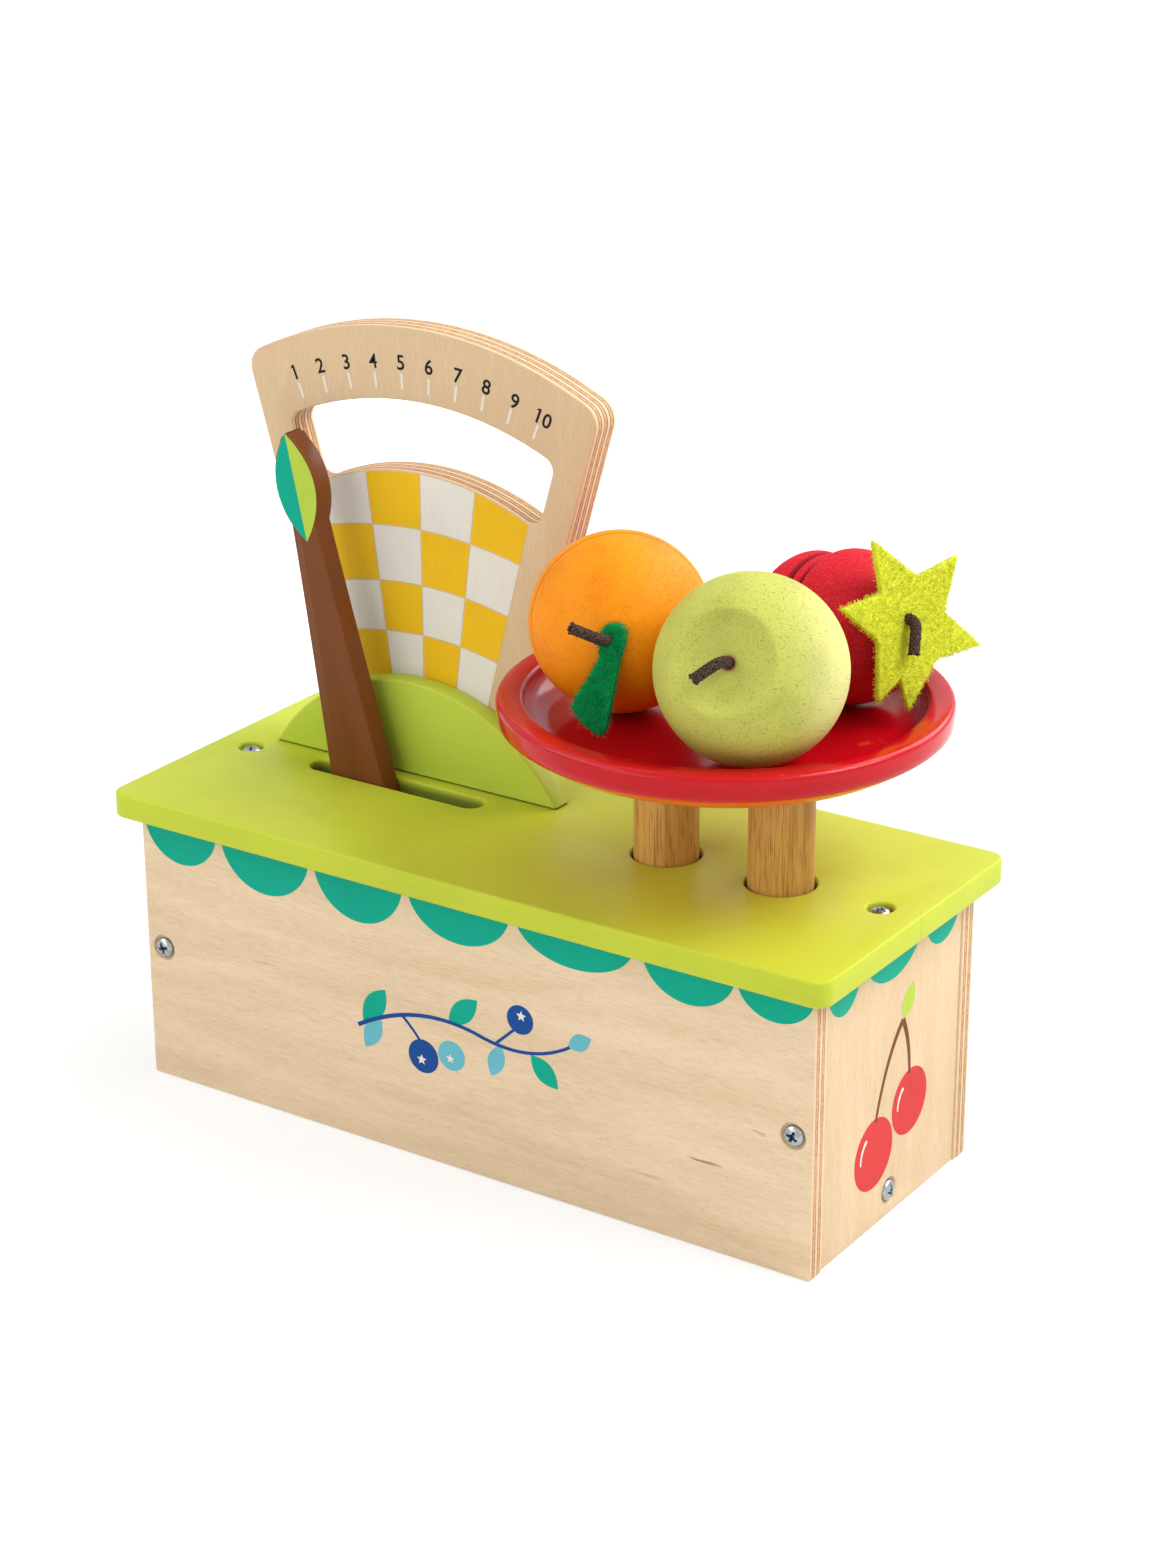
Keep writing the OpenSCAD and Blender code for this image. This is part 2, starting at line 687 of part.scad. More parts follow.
module tomato_body() {
    // Places of the two turned grooves between the balls, as shares of the distance between their middles
    groove_shares = [0.62, 1.13];
    band_rs = [tomato_tail_r + (tomato_r - tomato_tail_r) * 0.4, tomato_tail_r];
    color(tomato_skin) at_tomato() difference() {
        union() {
            sphere(tomato_r);
            translate([0, 0, -tomato_step]) sphere(tomato_tail_r);
            translate([0, 0, -tomato_step * groove_shares[1]])
                cylinder(h = tomato_step * (groove_shares[1] - groove_shares[0]), r1 = band_rs[1], r2 = band_rs[0]);
        }
        for (i = [0, 1]) groove(band_rs[i] + tomato_d * 0.008, -tomato_step * groove_shares[i], tomato_d * 0.05);
        stem_bore(tomato_r);
    }
}

module tomato_star() {
    // Tips and valleys of the hand-cut star, from right to left over its lower edge
    turns = [-160, 160, 125, 100, 70, 40, -10, -25, -45, -90, -115, -145];
    reach_share = [1.05, 0.58, 1, 0.55, 1.1, 0.53, 0.85, 0.54, 0.87, 0.5, 1.05, 0.57];
    color(star_felt) at_tomato() translate([0, 0, tomato_r + felt_gap]) linear_extrude(felt_t) difference() {
        polygon([for (i = [0:len(turns) - 1]) star_r * reach_share[i] * [cos(turns[i]), sin(turns[i])]]);
        circle(d = stem_d + 2 * felt_gap);
    }
}

module tomato_stem() {
    at_tomato() stem(tomato_r - stem_bore_depth, tomato_r + felt_t + stem_d / 2, 84, stem_d * 3);
}

long_panel(-1);  // front_panel
long_panel(1);  // back_panel
end_panel(-1);  // left_end_panel
end_panel(1);  // right_end_panel
bottom_board();
top_board();
hill_panel();
dial_panel();
color(steel) at_panel_screws(-1) screw();  // front_panel_screws
color(steel) at_panel_screws(1) screw();  // back_panel_screws
color(steel) for (side = [-1, 1]) at_end_screw(side) screw();  // end_panel_screws
color(steel) at_top_screws() screw();  // top_board_screws
color(steel) at_dial_screws() screw();  // dial_screws
color(steel) at_hill_screws() screw();  // hill_screws
pointer_axle();
axle_spacer(-1);  // front_axle_spacer
axle_spacer(1);  // rear_axle_spacer
spring(post_xs[0]);  // left_spring
spring(post_xs[1]);  // right_spring
pointer();
tray();
post(post_xs[0]);  // left_post
post(post_xs[1]);  // right_post
stop_ring(post_xs[0]);  // left_stop_ring
stop_ring(post_xs[1]);  // right_stop_ring
cross_bar();
drive_peg();
color(steel) at_post_screws() screw();  // post_screws
orange_body();
orange_stem();
orange_leaf();
apple_body();
apple_stem();
tomato_body();
tomato_star();
tomato_stem();
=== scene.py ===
"""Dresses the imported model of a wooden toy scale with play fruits.

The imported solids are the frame. Boards are eased copies of their solids, turned pieces are lathed,
and what repeats (screws, ticks, scallops, springs and the braid of the stems) grows in Geometry Nodes.
All lengths are metres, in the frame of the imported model.
"""

from __future__ import annotations

import json
import logging
import math
from collections.abc import Iterable, Mapping, Sequence
from dataclasses import dataclass, field
from enum import Enum

import bmesh
import bpy
from mathutils import Euler, Matrix, Vector

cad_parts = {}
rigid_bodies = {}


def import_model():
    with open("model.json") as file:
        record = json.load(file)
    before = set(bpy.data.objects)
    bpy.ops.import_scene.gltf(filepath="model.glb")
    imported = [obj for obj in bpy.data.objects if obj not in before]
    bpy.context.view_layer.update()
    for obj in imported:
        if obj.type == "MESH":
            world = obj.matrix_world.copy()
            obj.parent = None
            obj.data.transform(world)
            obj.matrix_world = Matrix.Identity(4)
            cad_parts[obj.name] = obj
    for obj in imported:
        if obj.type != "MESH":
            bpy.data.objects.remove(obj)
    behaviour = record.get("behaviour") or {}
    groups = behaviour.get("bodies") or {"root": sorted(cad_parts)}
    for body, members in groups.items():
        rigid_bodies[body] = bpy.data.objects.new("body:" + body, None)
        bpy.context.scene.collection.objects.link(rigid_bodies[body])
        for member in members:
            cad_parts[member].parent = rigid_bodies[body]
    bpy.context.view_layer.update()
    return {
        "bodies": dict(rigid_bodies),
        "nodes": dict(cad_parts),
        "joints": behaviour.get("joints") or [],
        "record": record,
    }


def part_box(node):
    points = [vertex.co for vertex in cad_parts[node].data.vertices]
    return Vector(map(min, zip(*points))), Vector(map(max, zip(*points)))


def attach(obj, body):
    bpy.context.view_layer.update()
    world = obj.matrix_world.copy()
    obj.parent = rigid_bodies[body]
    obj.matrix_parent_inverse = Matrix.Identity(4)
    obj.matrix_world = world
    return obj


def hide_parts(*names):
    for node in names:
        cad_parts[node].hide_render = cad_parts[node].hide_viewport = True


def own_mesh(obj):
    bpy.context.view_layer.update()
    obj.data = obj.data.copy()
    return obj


LOG = logging.getLogger("toy_scale")
MM = 0.001
FILM = 0.05 * MM
FILM_ROOT = 0.03 * MM
FILM_STEP = 0.002 * MM
CORD_SEAT = 5.0 * MM
FELT = 1.5 * MM
Point = tuple[float, float]
Colour = tuple[float, float, float, float]
Span = tuple[float, float, float]
Flaw = tuple[float, float, float, float, float]
Outline = Sequence[Point]
Socket = bpy.types.NodeSocket
Material = bpy.types.Material
Piece = bpy.types.Object
Shape = bmesh.types.BMesh
Ring = Sequence[bmesh.types.BMVert]


class Axis(Enum):
    """The three axes of the frame."""

    X = 0
    Y = 1
    Z = 2


class Hue(Enum):
    """The toy's colours, as red, green and blue from 0 to 255."""

    BIRCH = (232, 208, 176)
    BIRCH_TAN = (208, 180, 143)
    BIRCH_STREAK = (190, 142, 102)
    PLY_PALE = (224, 190, 150)
    PLY_CROSS = (188, 144, 104)
    PLY_GLUE = (112, 72, 46)
    KNOT = (150, 96, 56)
    DOWEL = (212, 166, 88)
    DOWEL_DARK = (126, 82, 32)
    LIME = (188, 199, 56)
    GRASS = (184, 203, 68)
    BARK = (118, 66, 32)
    # Dark green of painted shade, in the lid's openings and along the hill's foot.
    SHADE = (34, 74, 44)
    TEAL = (2, 162, 136)
    LEAF_LIME = (176, 200, 70)
    YELLOW = (232, 185, 28)
    WHITE = (224, 219, 210)
    BLACK = (24, 22, 22)
    RED = (192, 12, 24)
    # Lacquer wear on the rim, also used as a painted reflection of the lid under the tray.
    RED_WORN = (232, 104, 38)
    ORANGE = (239, 143, 12)
    ORANGE_DEEP = (214, 100, 6)
    APPLE = (187, 189, 88)
    APPLE_DEEP = (148, 148, 62)
    # Pale painted sheen for the apple's lit side.
    THIN_STAIN = (232, 224, 168)
    TOMATO = (196, 18, 36)
    TOMATO_DEEP = (116, 4, 20)
    FELT_GREEN = (0, 152, 80)
    FELT_LIME = (222, 226, 54)
    CORD = (104, 78, 63)
    CORD_DARK = (24, 16, 13)
    NAVY = (24, 72, 140)
    SKY = (104, 182, 196)
    CHERRY = (206, 56, 54)
    ZINC = (178, 184, 186)
    # Painted shade in a screw's cross recess.
    ZINC_CUT = (52, 84, 98)
    BACKDROP = (255, 255, 255)

    @property
    def linear(self) -> Colour:
        """The colour as Blender's linear values, with full alpha.

        Returns:
            Red, green, blue and alpha from 0 to 1.
        """
        parts = [c / 255 for c in self.value]
        red, green, blue = (p / 12.92 if p <= 0.04045 else ((p + 0.055) / 1.055) ** 2.4 for p in parts)
        return (red, green, blue, 1.0)

    def toned(self, factor: float, lift: float = 0.0) -> Colour:
        """The linear colour times a factor and raised by a lift."""
        return (*(c * factor + lift for c in self.linear[:3]), 1.0)


class Side(Enum):
    """Upright faces of the box, with the directions of a print's right, its top and its outside."""

    FRONT = ((1, 0, 0), (0, 0, 1), (0, -1, 0))
    BACK = ((-1, 0, 0), (0, 0, 1), (0, 1, 0))
    LEFT = ((0, -1, 0), (0, 0, 1), (-1, 0, 0))
    RIGHT = ((0, 1, 0), (0, 0, 1), (1, 0, 0))

    def plane(self, origin: Vector) -> Matrix:
        """Matrix that lays a flat drawing on this side of the box.

        Args:
            origin: The point that the drawing's own origin goes to.

        Returns:
            The matrix from the drawing to the frame.
        """
        right, up, out = (Vector(d) for d in self.value)
        turn = Matrix((right, up, out)).transposed().to_4x4()
        return Matrix.Translation(origin) @ turn


# ---- node trees


class Value:
    """A number on a node's socket; an expression on it adds Math nodes."""

    def __init__(self, bench: Bench, socket: Socket) -> None:
        """Wraps a socket.

        Args:
            bench: The tree that the socket is in.
            socket: The output that carries the number.
        """
        self.bench = bench
        self.socket = socket

    def maths(self, operation: str, *others: Value | float) -> Value:
        """Adds one Math node that starts with this value."""
        return self.bench.maths(operation, self, *others)

    def __add__(self, other: Value | float) -> Value:
        """This plus other."""
        return self.maths("ADD", other)

    def __sub__(self, other: Value | float) -> Value:
        """This minus other."""
        return self.maths("SUBTRACT", other)

    def __rsub__(self, other: float) -> Value:
        """Other minus this."""
        return self.bench.maths("SUBTRACT", other, self)

    def __mul__(self, other: Value | float) -> Value:
        """This times other."""
        return self.maths("MULTIPLY", other)

    def __truediv__(self, other: Value | float) -> Value:
        """This over other."""
        return self.maths("DIVIDE", other)

    def __rtruediv__(self, other: float) -> Value:
        """Other over this."""
        return self.bench.maths("DIVIDE", other, self)

    __radd__ = __add__
    __rmul__ = __mul__

    def ramp(self, low: float, high: float) -> Value:
        """Goes softly from 0 to 1.

        Args:
            low: Where it is 0, which may be more than high.
            high: Where it is 1.

        Returns:
            The softened value.
        """
        inputs = {"Value": self, "From Min": min(low, high), "From Max": max(low, high)}
        made = self.bench.output("ShaderNodeMapRange", {"interpolation_type": "SMOOTHSTEP"}, inputs)
        rising = Value(self.bench, made)
        return rising if low < high else 1 - rising


Link = Value | Hue | Socket | float | int | str | bool | Sequence[float] | bpy.types.ID


class Bench:
    """What shader trees and geometry trees share: making nodes and linking them."""

    def __init__(self, tree: bpy.types.NodeTree) -> None:
        """Starts on a tree."""
        self.tree = tree

    def node(
        self, kind: str, settings: Mapping[str, object] = {}, inputs: Mapping[str | int, Link] = {}
    ) -> bpy.types.Node:
        """Adds a node.

        Args:
            kind: The node's type.
            settings: The node's own settings, set before its sockets.
            inputs: Values or links of its sockets, by name or number.

        Returns:
            The new node.
        """
        made = self.tree.nodes.new(kind)
        for name, setting in settings.items():
            setattr(made, name, setting)
        for name, value in inputs.items():
            self.feed(made.inputs[name], value)
        return made

    def output(
        self, kind: str, settings: Mapping[str, object] = {}, inputs: Mapping[str | int, Link] = {}
    ) -> Socket:
        """Adds a node and gives its first output."""
        return self.node(kind, settings, inputs).outputs[0]

    def feed(self, socket: Socket, value: Link) -> None:
        """Links a socket, or sets its value.

        Args:
            socket: The input.
            value: What it is fed; a hue is set as its linear colour.
        """
        if isinstance(value, Hue):
            value = value.linear
        source = value.socket if isinstance(value, Value) else value
        if isinstance(source, Socket):
            self.tree.links.new(source, socket)
        else:
            socket.default_value = source

    def maths(self, operation: str, *values: Value | float) -> Value:
        """Adds one Math node on values and numbers."""
        return Value(self, self.output("ShaderNodeMath", {"operation": operation}, dict(enumerate(values))))

    def parts(self, vector: Link) -> tuple[Value, Value, Value]:
        """The three parts of a vector."""
        made = self.node("ShaderNodeSeparateXYZ", inputs={0: vector})
        return tuple(Value(self, output) for output in made.outputs)

    def vector(self, x: Value | float = 0.0, y: Value | float = 0.0, z: Value | float = 0.0) -> Socket:
        """A vector from three numbers."""
        return self.output("ShaderNodeCombineXYZ", inputs={0: x, 1: y, 2: z})

    def vectors(self, operation: str, *values: Link) -> Socket:
        """Adds one Vector Math node; SCALE takes its factor second."""
        slots = {0: values[0], 3: values[1]} if operation == "SCALE" else dict(enumerate(values))
        return self.output("ShaderNodeVectorMath", {"operation": operation}, slots)


class Shade(Bench):
    """One material's shader tree."""

    def __init__(self, name: str) -> None:
        """Starts an empty material.

        Args:
            name: The material's name.
        """
        self.material = bpy.data.materials.new(name)
        self.material.use_nodes = True
        super().__init__(self.material.node_tree)
        self.tree.nodes.clear()
        self.coordinates = self.node("ShaderNodeTexCoord")
        self.plain = self.place()

    def spot(self) -> tuple[Value, Value, Value]:
        """The three parts of the Object coordinates."""
        return self.parts(self.coordinates.outputs["Object"])

    def facing(self, axis: Axis) -> Value:
        """The normal's part along an axis."""
        return self.parts(self.coordinates.outputs["Normal"])[axis.value]

    def place(
        self, scale: Sequence[float] = (1, 1, 1), centre: Vector = Vector(), turn: Euler = Euler()
    ) -> Socket:
        """Object coordinates, moved, turned and then stretched.

        Args:
            scale: The stretch along each axis.
            centre: The point that becomes the origin.
            turn: The turn that becomes level.

        Returns:
            The coordinates.
        """
        inputs = {"Vector": self.coordinates.outputs["Object"], "Location": centre, "Rotation": turn}
        local = self.output("ShaderNodeMapping", {"vector_type": "TEXTURE"}, inputs)
        return self.vectors("MULTIPLY", local, scale)

    def along(self, grain: Axis, squeeze: float, centre: Vector = Vector()) -> Socket:
        """Object coordinates, squeezed along the grain."""
        return self.place([squeeze if axis is grain else 1.0 for axis in Axis], centre)

    def attribute(self, name: str) -> Value:
        """A number that the mesh carries under a name."""
        made = self.node("ShaderNodeAttribute", {"attribute_name": name})
        return Value(self, made.outputs["Fac"])

    def noise(self, vector: Link, scale: float = 1.0, detail: float = 3.0, bend: float = 0.0) -> Value:
        """Noise between 0 and 1.

        Args:
            vector: Where the noise is read.
            scale: Features in each unit of the vector.
            detail: Octaves.
            bend: Distortion.

        Returns:
            The noise.
        """
        inputs = {"Vector": vector, "Scale": scale, "Detail": detail, "Distortion": bend}
        return Value(self, self.output("ShaderNodeTexNoise", inputs=inputs))

    def mix(self, share: Value | float, first: Link, second: Link) -> Socket:
        """Mixes two colours."""
        return self.node("ShaderNodeMix", {"data_type": "RGBA"}, {0: share, 6: first, 7: second}).outputs[2]

    def bump(self, height: Value, depth: float, strength: float = 1.0) -> Socket:
        """A normal from a height between 0 and 1, depth metres tall."""
        inputs = {"Height": height, "Distance": depth, "Strength": strength}
        return self.output("ShaderNodeBump", inputs=inputs)

    def surface(self, colour: Link, roughness: Link, normal: Socket, **sockets: Link) -> Material:
        """Ends the material in one Principled shader.

        Args:
            colour: The base colour.
            roughness: How rough it is.
            normal: Its normal.
            sockets: Other sockets by name, with underscores for spaces.

        Returns:
            The material.
        """
        inputs = {"Base Color": colour, "Roughness": roughness, "Normal": normal}
        inputs |= {name.replace("_", " "): value for name, value in sockets.items()}
        shader = self.node("ShaderNodeBsdfPrincipled", inputs=inputs)
        self.node("ShaderNodeOutputMaterial", inputs={"Surface": shader.outputs[0]})
        return self.material


class Growth(Bench):
    """One Geometry Nodes tree with named sizes, baked to plain meshes."""

    def __init__(self, name: str, sizes: Mapping[str, float | int | Vector]) -> None:
        """Starts a tree.

        Args:
            name: The tree's name.
            sizes: Its named inputs and their usual values; their types follow from these.
        """
        super().__init__(bpy.data.node_groups.new(name, "GeometryNodeTree"))
        face = self.tree.interface
        for way in ("INPUT", "OUTPUT"):
            face.new_socket("Geometry", in_out=way, socket_type="NodeSocketGeometry")
        kinds = {int: "NodeSocketInt", float: "NodeSocketFloat", Vector: "NodeSocketVector"}
        self.sizes = dict(sizes)
        self.identifiers = {}
        self.material = None
        for label, value in sizes.items():
            socket = face.new_socket(label, in_out="INPUT", socket_type=kinds[type(value)])
            self.identifiers[label] = socket.identifier
        self.entry = self.node("NodeGroupInput")
        self.exit = self.node("NodeGroupOutput")

    @property
    def start(self) -> Socket:
        """The geometry that the modifier is given."""
        return self.entry.outputs[0]

    def size(self, label: str) -> Value:
        """A named input as a value."""
        return Value(self, self.entry.outputs[label])

    def attribute(self, name: str, kind: str = "FLOAT") -> Value:
        """A named attribute of the host mesh."""
        return Value(self, self.output("GeometryNodeInputNamedAttribute", {"data_type": kind}, {"Name": name}))

    def host_points(self) -> Socket:
        """The host's vertices as points."""
        return self.output("GeometryNodeMeshToPoints", inputs={0: self.start})

    def copies(self, points: Link, shape: Link, scale: Link = (1, 1, 1), turn: Link = (0, 0, 0)) -> Socket:
        """Copies a shape to points.

        Args:
            points: Where the copies go.
            shape: What is copied.
            scale: The size of each copy.
            turn: The turn of each copy.

        Returns:
            The copies, which close makes real.
        """
        return self.output(
            "GeometryNodeInstanceOnPoints", inputs={0: points, "Instance": shape, "Rotation": turn, "Scale": scale}
        )

    def sweep(self, path: Link, sides: int, radius: Link, closed: bool = True) -> Socket:
        """A round wire along a path.

        Args:
            path: The path.
            sides: Facets round the wire.
            radius: The wire's radius.
            closed: Whether its ends are closed and its facets are shaded smooth.

        Returns:
            The wire.
        """
        ring = self.output("GeometryNodeCurvePrimitiveCircle", inputs={"Resolution": sides, "Radius": radius})
        wire = self.output("GeometryNodeCurveToMesh", inputs={0: path, 1: ring, "Fill Caps": closed})
        return self.output("GeometryNodeSetShadeSmooth", inputs={0: wire}) if closed else wire

    def chance(self, low: float, high: float, seed: int) -> Value:
        """A random number for each element.

        Args:
            low: The least number.
            high: The greatest number.
            seed: The fixed seed.

        Returns:
            The number.
        """
        made = self.node("FunctionNodeRandomValue", {"data_type": "FLOAT"}, {2: low, 3: high, "Seed": seed})
        return Value(self, made.outputs[1])

    def close(self, geometry: Socket, material: Material) -> None:
        """Ends the tree in Realize Instances and Set Material.

        Args:
            geometry: What the tree has grown.
            material: The material of all of it.
        """
        self.material = material
        real = self.output("GeometryNodeRealizeInstances", inputs={0: geometry})
        dressed = self.output("GeometryNodeSetMaterial", inputs={0: real, "Material": material})
        self.feed(self.exit.inputs[0], dressed)

    def grow(self, name: str, host: Piece, **sizes: float | int | Vector) -> Piece:
        """Runs the tree on a host and keeps the result as a plain mesh.

        Args:
            name: The new piece's name.
            host: The object whose geometry the tree starts from; it is used up.
            sizes: Named inputs that differ from the usual values.

        Returns:
            The new piece.
        """
        modifier = host.modifiers.new(name, "NODES")
        modifier.node_group = self.tree
        for label, value in {**self.sizes, **sizes}.items():
            modifier[self.identifiers[label]] = value
        mesh = baked(host)
        host.modifiers.remove(modifier)
        bpy.data.objects.remove(host)
        return new_object(name, mesh)


# ---- finishes


@dataclass(frozen=True)
class Plywood:
    """Sanded birch plywood, with its plies on every face that is cut across them.

    low and high are the sheet's two faces along through; figure and fibre are features in each metre; warmth,
    streak, depth and glue are strengths; each flaw is what flaw_at takes after the tree.
    """

    name: str
    grain: Axis
    through: Axis
    low: float
    high: float
    plies: int = 5
    figure: float = 62.0
    fibre: float = 2300.0
    seed: float = 0.0
    warmth: float = 0.3
    streak: float = 0.6
    depth: float = 1.0
    glue: float = 0.45
    flaws: tuple[Flaw, ...] = ()

    def make(self) -> Material:
        """Builds the material.

        Returns:
            The material.
        """
        shade = Shade(self.name)
        centre = Vector((self.seed, self.seed * 0.7, self.seed * 1.3))
        broad = shade.noise(shade.along(self.grain, 0.16, centre), self.figure, 3.0, 1.6)
        bands = shade.noise(shade.along(self.grain, 0.08, centre * 3), self.figure * 2.4, 2.0, 1.2)
        fibres = shade.noise(shade.along(self.grain, 0.09, centre), self.fibre, 2.0, 0.3)
        pores = shade.noise(shade.along(self.grain, 0.15, centre * 2), self.fibre * 1.35, 1.0)
        streaks = shade.noise(shade.along(self.grain, 0.12, centre * 5), self.figure * 0.9, 3.0, 2.6)
        tone = ((broad - 0.5) * 0.85 + (bands - 0.5) * 0.5) * self.depth + (fibres - 0.5) * 0.95 + self.warmth
        face = shade.mix(tone.ramp(-0.2, 1.0), Hue.BIRCH, Hue.BIRCH_TAN)
        face = shade.mix(streaks.ramp(0.69, 0.8) * self.streak, face, Hue.BIRCH_STREAK)
        face = shade.mix(pores.ramp(0.63, 0.73) * 0.28, face, Hue.BIRCH_STREAK)
        for flaw in self.flaws:
            face = shade.mix(self.flaw_at(shade, *flaw) * (fibres * 0.6 + 0.5), face, Hue.KNOT)
        edge_face, plies = self.plies_at(shade, fibres)
        on_edge = shade.facing(self.through).maths("ABSOLUTE").ramp(0.75, 0.35)
        colour = shade.mix(on_edge, face, edge_face)
        relief = fibres * 0.5 + pores.ramp(0.6, 0.8) * -0.7 + plies * on_edge * 0.9
        normal = shade.bump(relief, 0.05 * MM, 0.7)
        return shade.surface(colour, 0.5 + fibres * 0.16, normal, Specular_IOR_Level=0.15)

    def flaw_at(self, shade: Shade, x: float, z: float, length: float, slope: float, strength: float) -> Value:
        """A brown streak in an upright face along X, thickest right of its middle.

        Args:
            shade: The material's tree.
            x: Where its middle is along X.
            z: Where its middle is in height.
            length: How long it is.
            slope: How much it climbs along X.
            strength: How dark it is.

        Returns:
            Its darkness at each point.
        """
        u, _, v = shade.spot()
        ragged = shade.noise(shade.along(self.grain, 0.3, Vector((x, 0.0, z))), 900.0, 2.0) - 0.5
        share = (u - x) / length
        half_width = share * (0.9 * MM) + 0.6 * MM
        across = (v - z - (u - x) * slope + ragged * (0.7 * MM)) / half_width
        reach = share * share * 4 + across * across
        return reach.ramp(1.0, 0.15) * strength

    def plies_at(self, shade: Shade, fibres: Value) -> tuple[Socket, Value]:
        """Colour of the cut edge and the height of its plies.

        Args:
            shade: The material's tree.
            fibres: The face's fibres, which the pale plies show too.

        Returns:
            The edge's colour, and 1 on a pale ply and 0 on a dark one.
        """
        spot = shade.spot()[self.through.value]
        wander = shade.noise(shade.place((30, 30, 30)), 1.0, 2.0) - 0.5
        depth = (spot - self.low) * (self.plies / (self.high - self.low)) + wander * 0.22
        within = depth.maths("FRACT")
        to_glue = within.maths("MINIMUM", 1 - within)
        odd = (depth * 0.5).maths("FRACT").ramp(0.46, 0.54)
        rough = shade.noise(shade.plain, 900.0, 3.0)
        patches = shade.noise(shade.plain, 90.0, 2.0)
        pale = shade.mix(fibres.ramp(0.3, 0.75) * 0.6, Hue.PLY_PALE, Hue.BIRCH)
        dark = shade.mix(rough.ramp(0.35, 0.65) * 0.5, Hue.PLY_CROSS, Hue.PLY_PALE)
        colour = shade.mix(odd, pale, dark)
        glue = to_glue.ramp(0.17, 0.02) * (patches.ramp(0.3, 0.62) * 0.55 + self.glue)
        colour = shade.mix(glue, colour, Hue.PLY_GLUE)
        return colour, 1 - odd


@dataclass(frozen=True)
class Paint:
    """Satin paint on wood, which lets a little of the grain through.

    Where they are given, joint is the Y of a hairline joint in the ends, foot the height of a painted contact
    shadow along the foot, and top the height under which the walls of openings inside the inner half length and
    half width get painted shade.
    """

    name: str
    hue: Hue
    grain: Axis = Axis.X
    roughness: float = 0.42
    darker: float = 0.84
    joint: float | None = None
    foot: float | None = None
    top: float | None = None
    inner: Point = (113 * MM, 45 * MM)

    def make(self) -> Material:
        """Builds the material.

        Returns:
            The material.
        """
        shade = Shade(self.name)
        fibres = shade.noise(shade.along(self.grain, 0.06), 700.0, 3.0, 0.2)
        clouds = shade.noise(shade.plain, 24.0, 3.0)
        specks = shade.noise(shade.plain, 1500.0, 1.0)
        x, y, z = shade.spot()
        tone = clouds.ramp(0.3, 0.75) * 0.5 + (fibres - 0.5) * 0.5
        colour = shade.mix(tone.ramp(0.0, 1.0), self.hue, self.hue.toned(self.darker))
        if self.joint is not None:
            across, end = (y - self.joint).maths("ABSOLUTE"), shade.facing(Axis.X).maths("ABSOLUTE")
            hairline = across.ramp(0.22 * MM, 0.05 * MM) * end.ramp(0.3, 0.8)
            colour = shade.mix(hairline * 0.45, colour, Hue.BARK)
        # Painted shade on the walls of openings in the lid, below its top.
        if self.top is not None:
            inside = [p.maths("ABSOLUTE").ramp(reach + MM, reach - MM) for p, reach in zip((x, y), self.inner)]
            recess_shade = (self.top - z).ramp(0.4 * MM, 3.0 * MM) * inside[0] * inside[1]
            colour = shade.mix(recess_shade * 0.6, colour, Hue.SHADE)
        # A painted contact shadow along the foot of the hill.
        if self.foot is not None:
            colour = shade.mix((z - self.foot).ramp(0.75 * MM, 0.4 * MM) * 0.85, colour, Hue.SHADE)
        normal = shade.bump(fibres * 0.7 + specks * 0.3, 0.04 * MM, 0.6)
        rough = self.roughness + (clouds - 0.5) * 0.1 + specks.ramp(0.7, 0.9) * 0.2
        return shade.surface(colour, rough, normal, Specular_IOR_Level=0.16)


@dataclass(frozen=True)
class Lacquer:
    """Glossy lacquer over turned wood with wear on the rim, and a painted warm reflection of the lid along its lower
    edge.
    """

    name: str
    hue: Hue
    worn_and_reflected: Hue
    low: float
    high: float

    def make(self) -> Material:
        """Builds the material.

        Returns:
            The material.
        """
        shade = Shade(self.name)
        grain = shade.noise(shade.place((0.05, 1, 1)), 500.0, 3.0, 0.3)
        clouds = shade.noise(shade.plain, 30.0, 3.0)
        chips = shade.noise(shade.plain, 120.0, 4.0, 0.5)
        height = shade.spot()[Axis.Z.value]
        rim = height.ramp(self.high, self.low)
        colour = shade.mix(clouds.ramp(0.35, 0.7) * 0.5 + (grain - 0.5) * 0.3, self.hue, self.hue.toned(0.72))
        colour = shade.mix(chips.ramp(0.63, 0.72) * rim * 0.55, colour, self.worn_and_reflected)
        # Painted warm reflection of the lime lid along the underside edge; the same colour shows real wear on the rim.
        under = shade.facing(Axis.Z).ramp(-0.1, -0.4)
        painted_reflection_edge = height.ramp(self.low + 5.4 * MM, self.low + 3.8 * MM) * under
        colour = shade.mix(painted_reflection_edge * 0.8, colour, self.worn_and_reflected)
        nicks = shade.noise(shade.plain, 330.0, 1.0).ramp(0.76, 0.8)
        colour = shade.mix(nicks * 0.5, colour, Hue.CHERRY)
        normal = shade.bump(grain, 0.07 * MM, 0.5)
        rough = 0.13 + clouds * 0.07 + chips.ramp(0.6, 0.75) * 0.12
        return shade.surface(colour, rough, normal, Specular_IOR_Level=0.22)


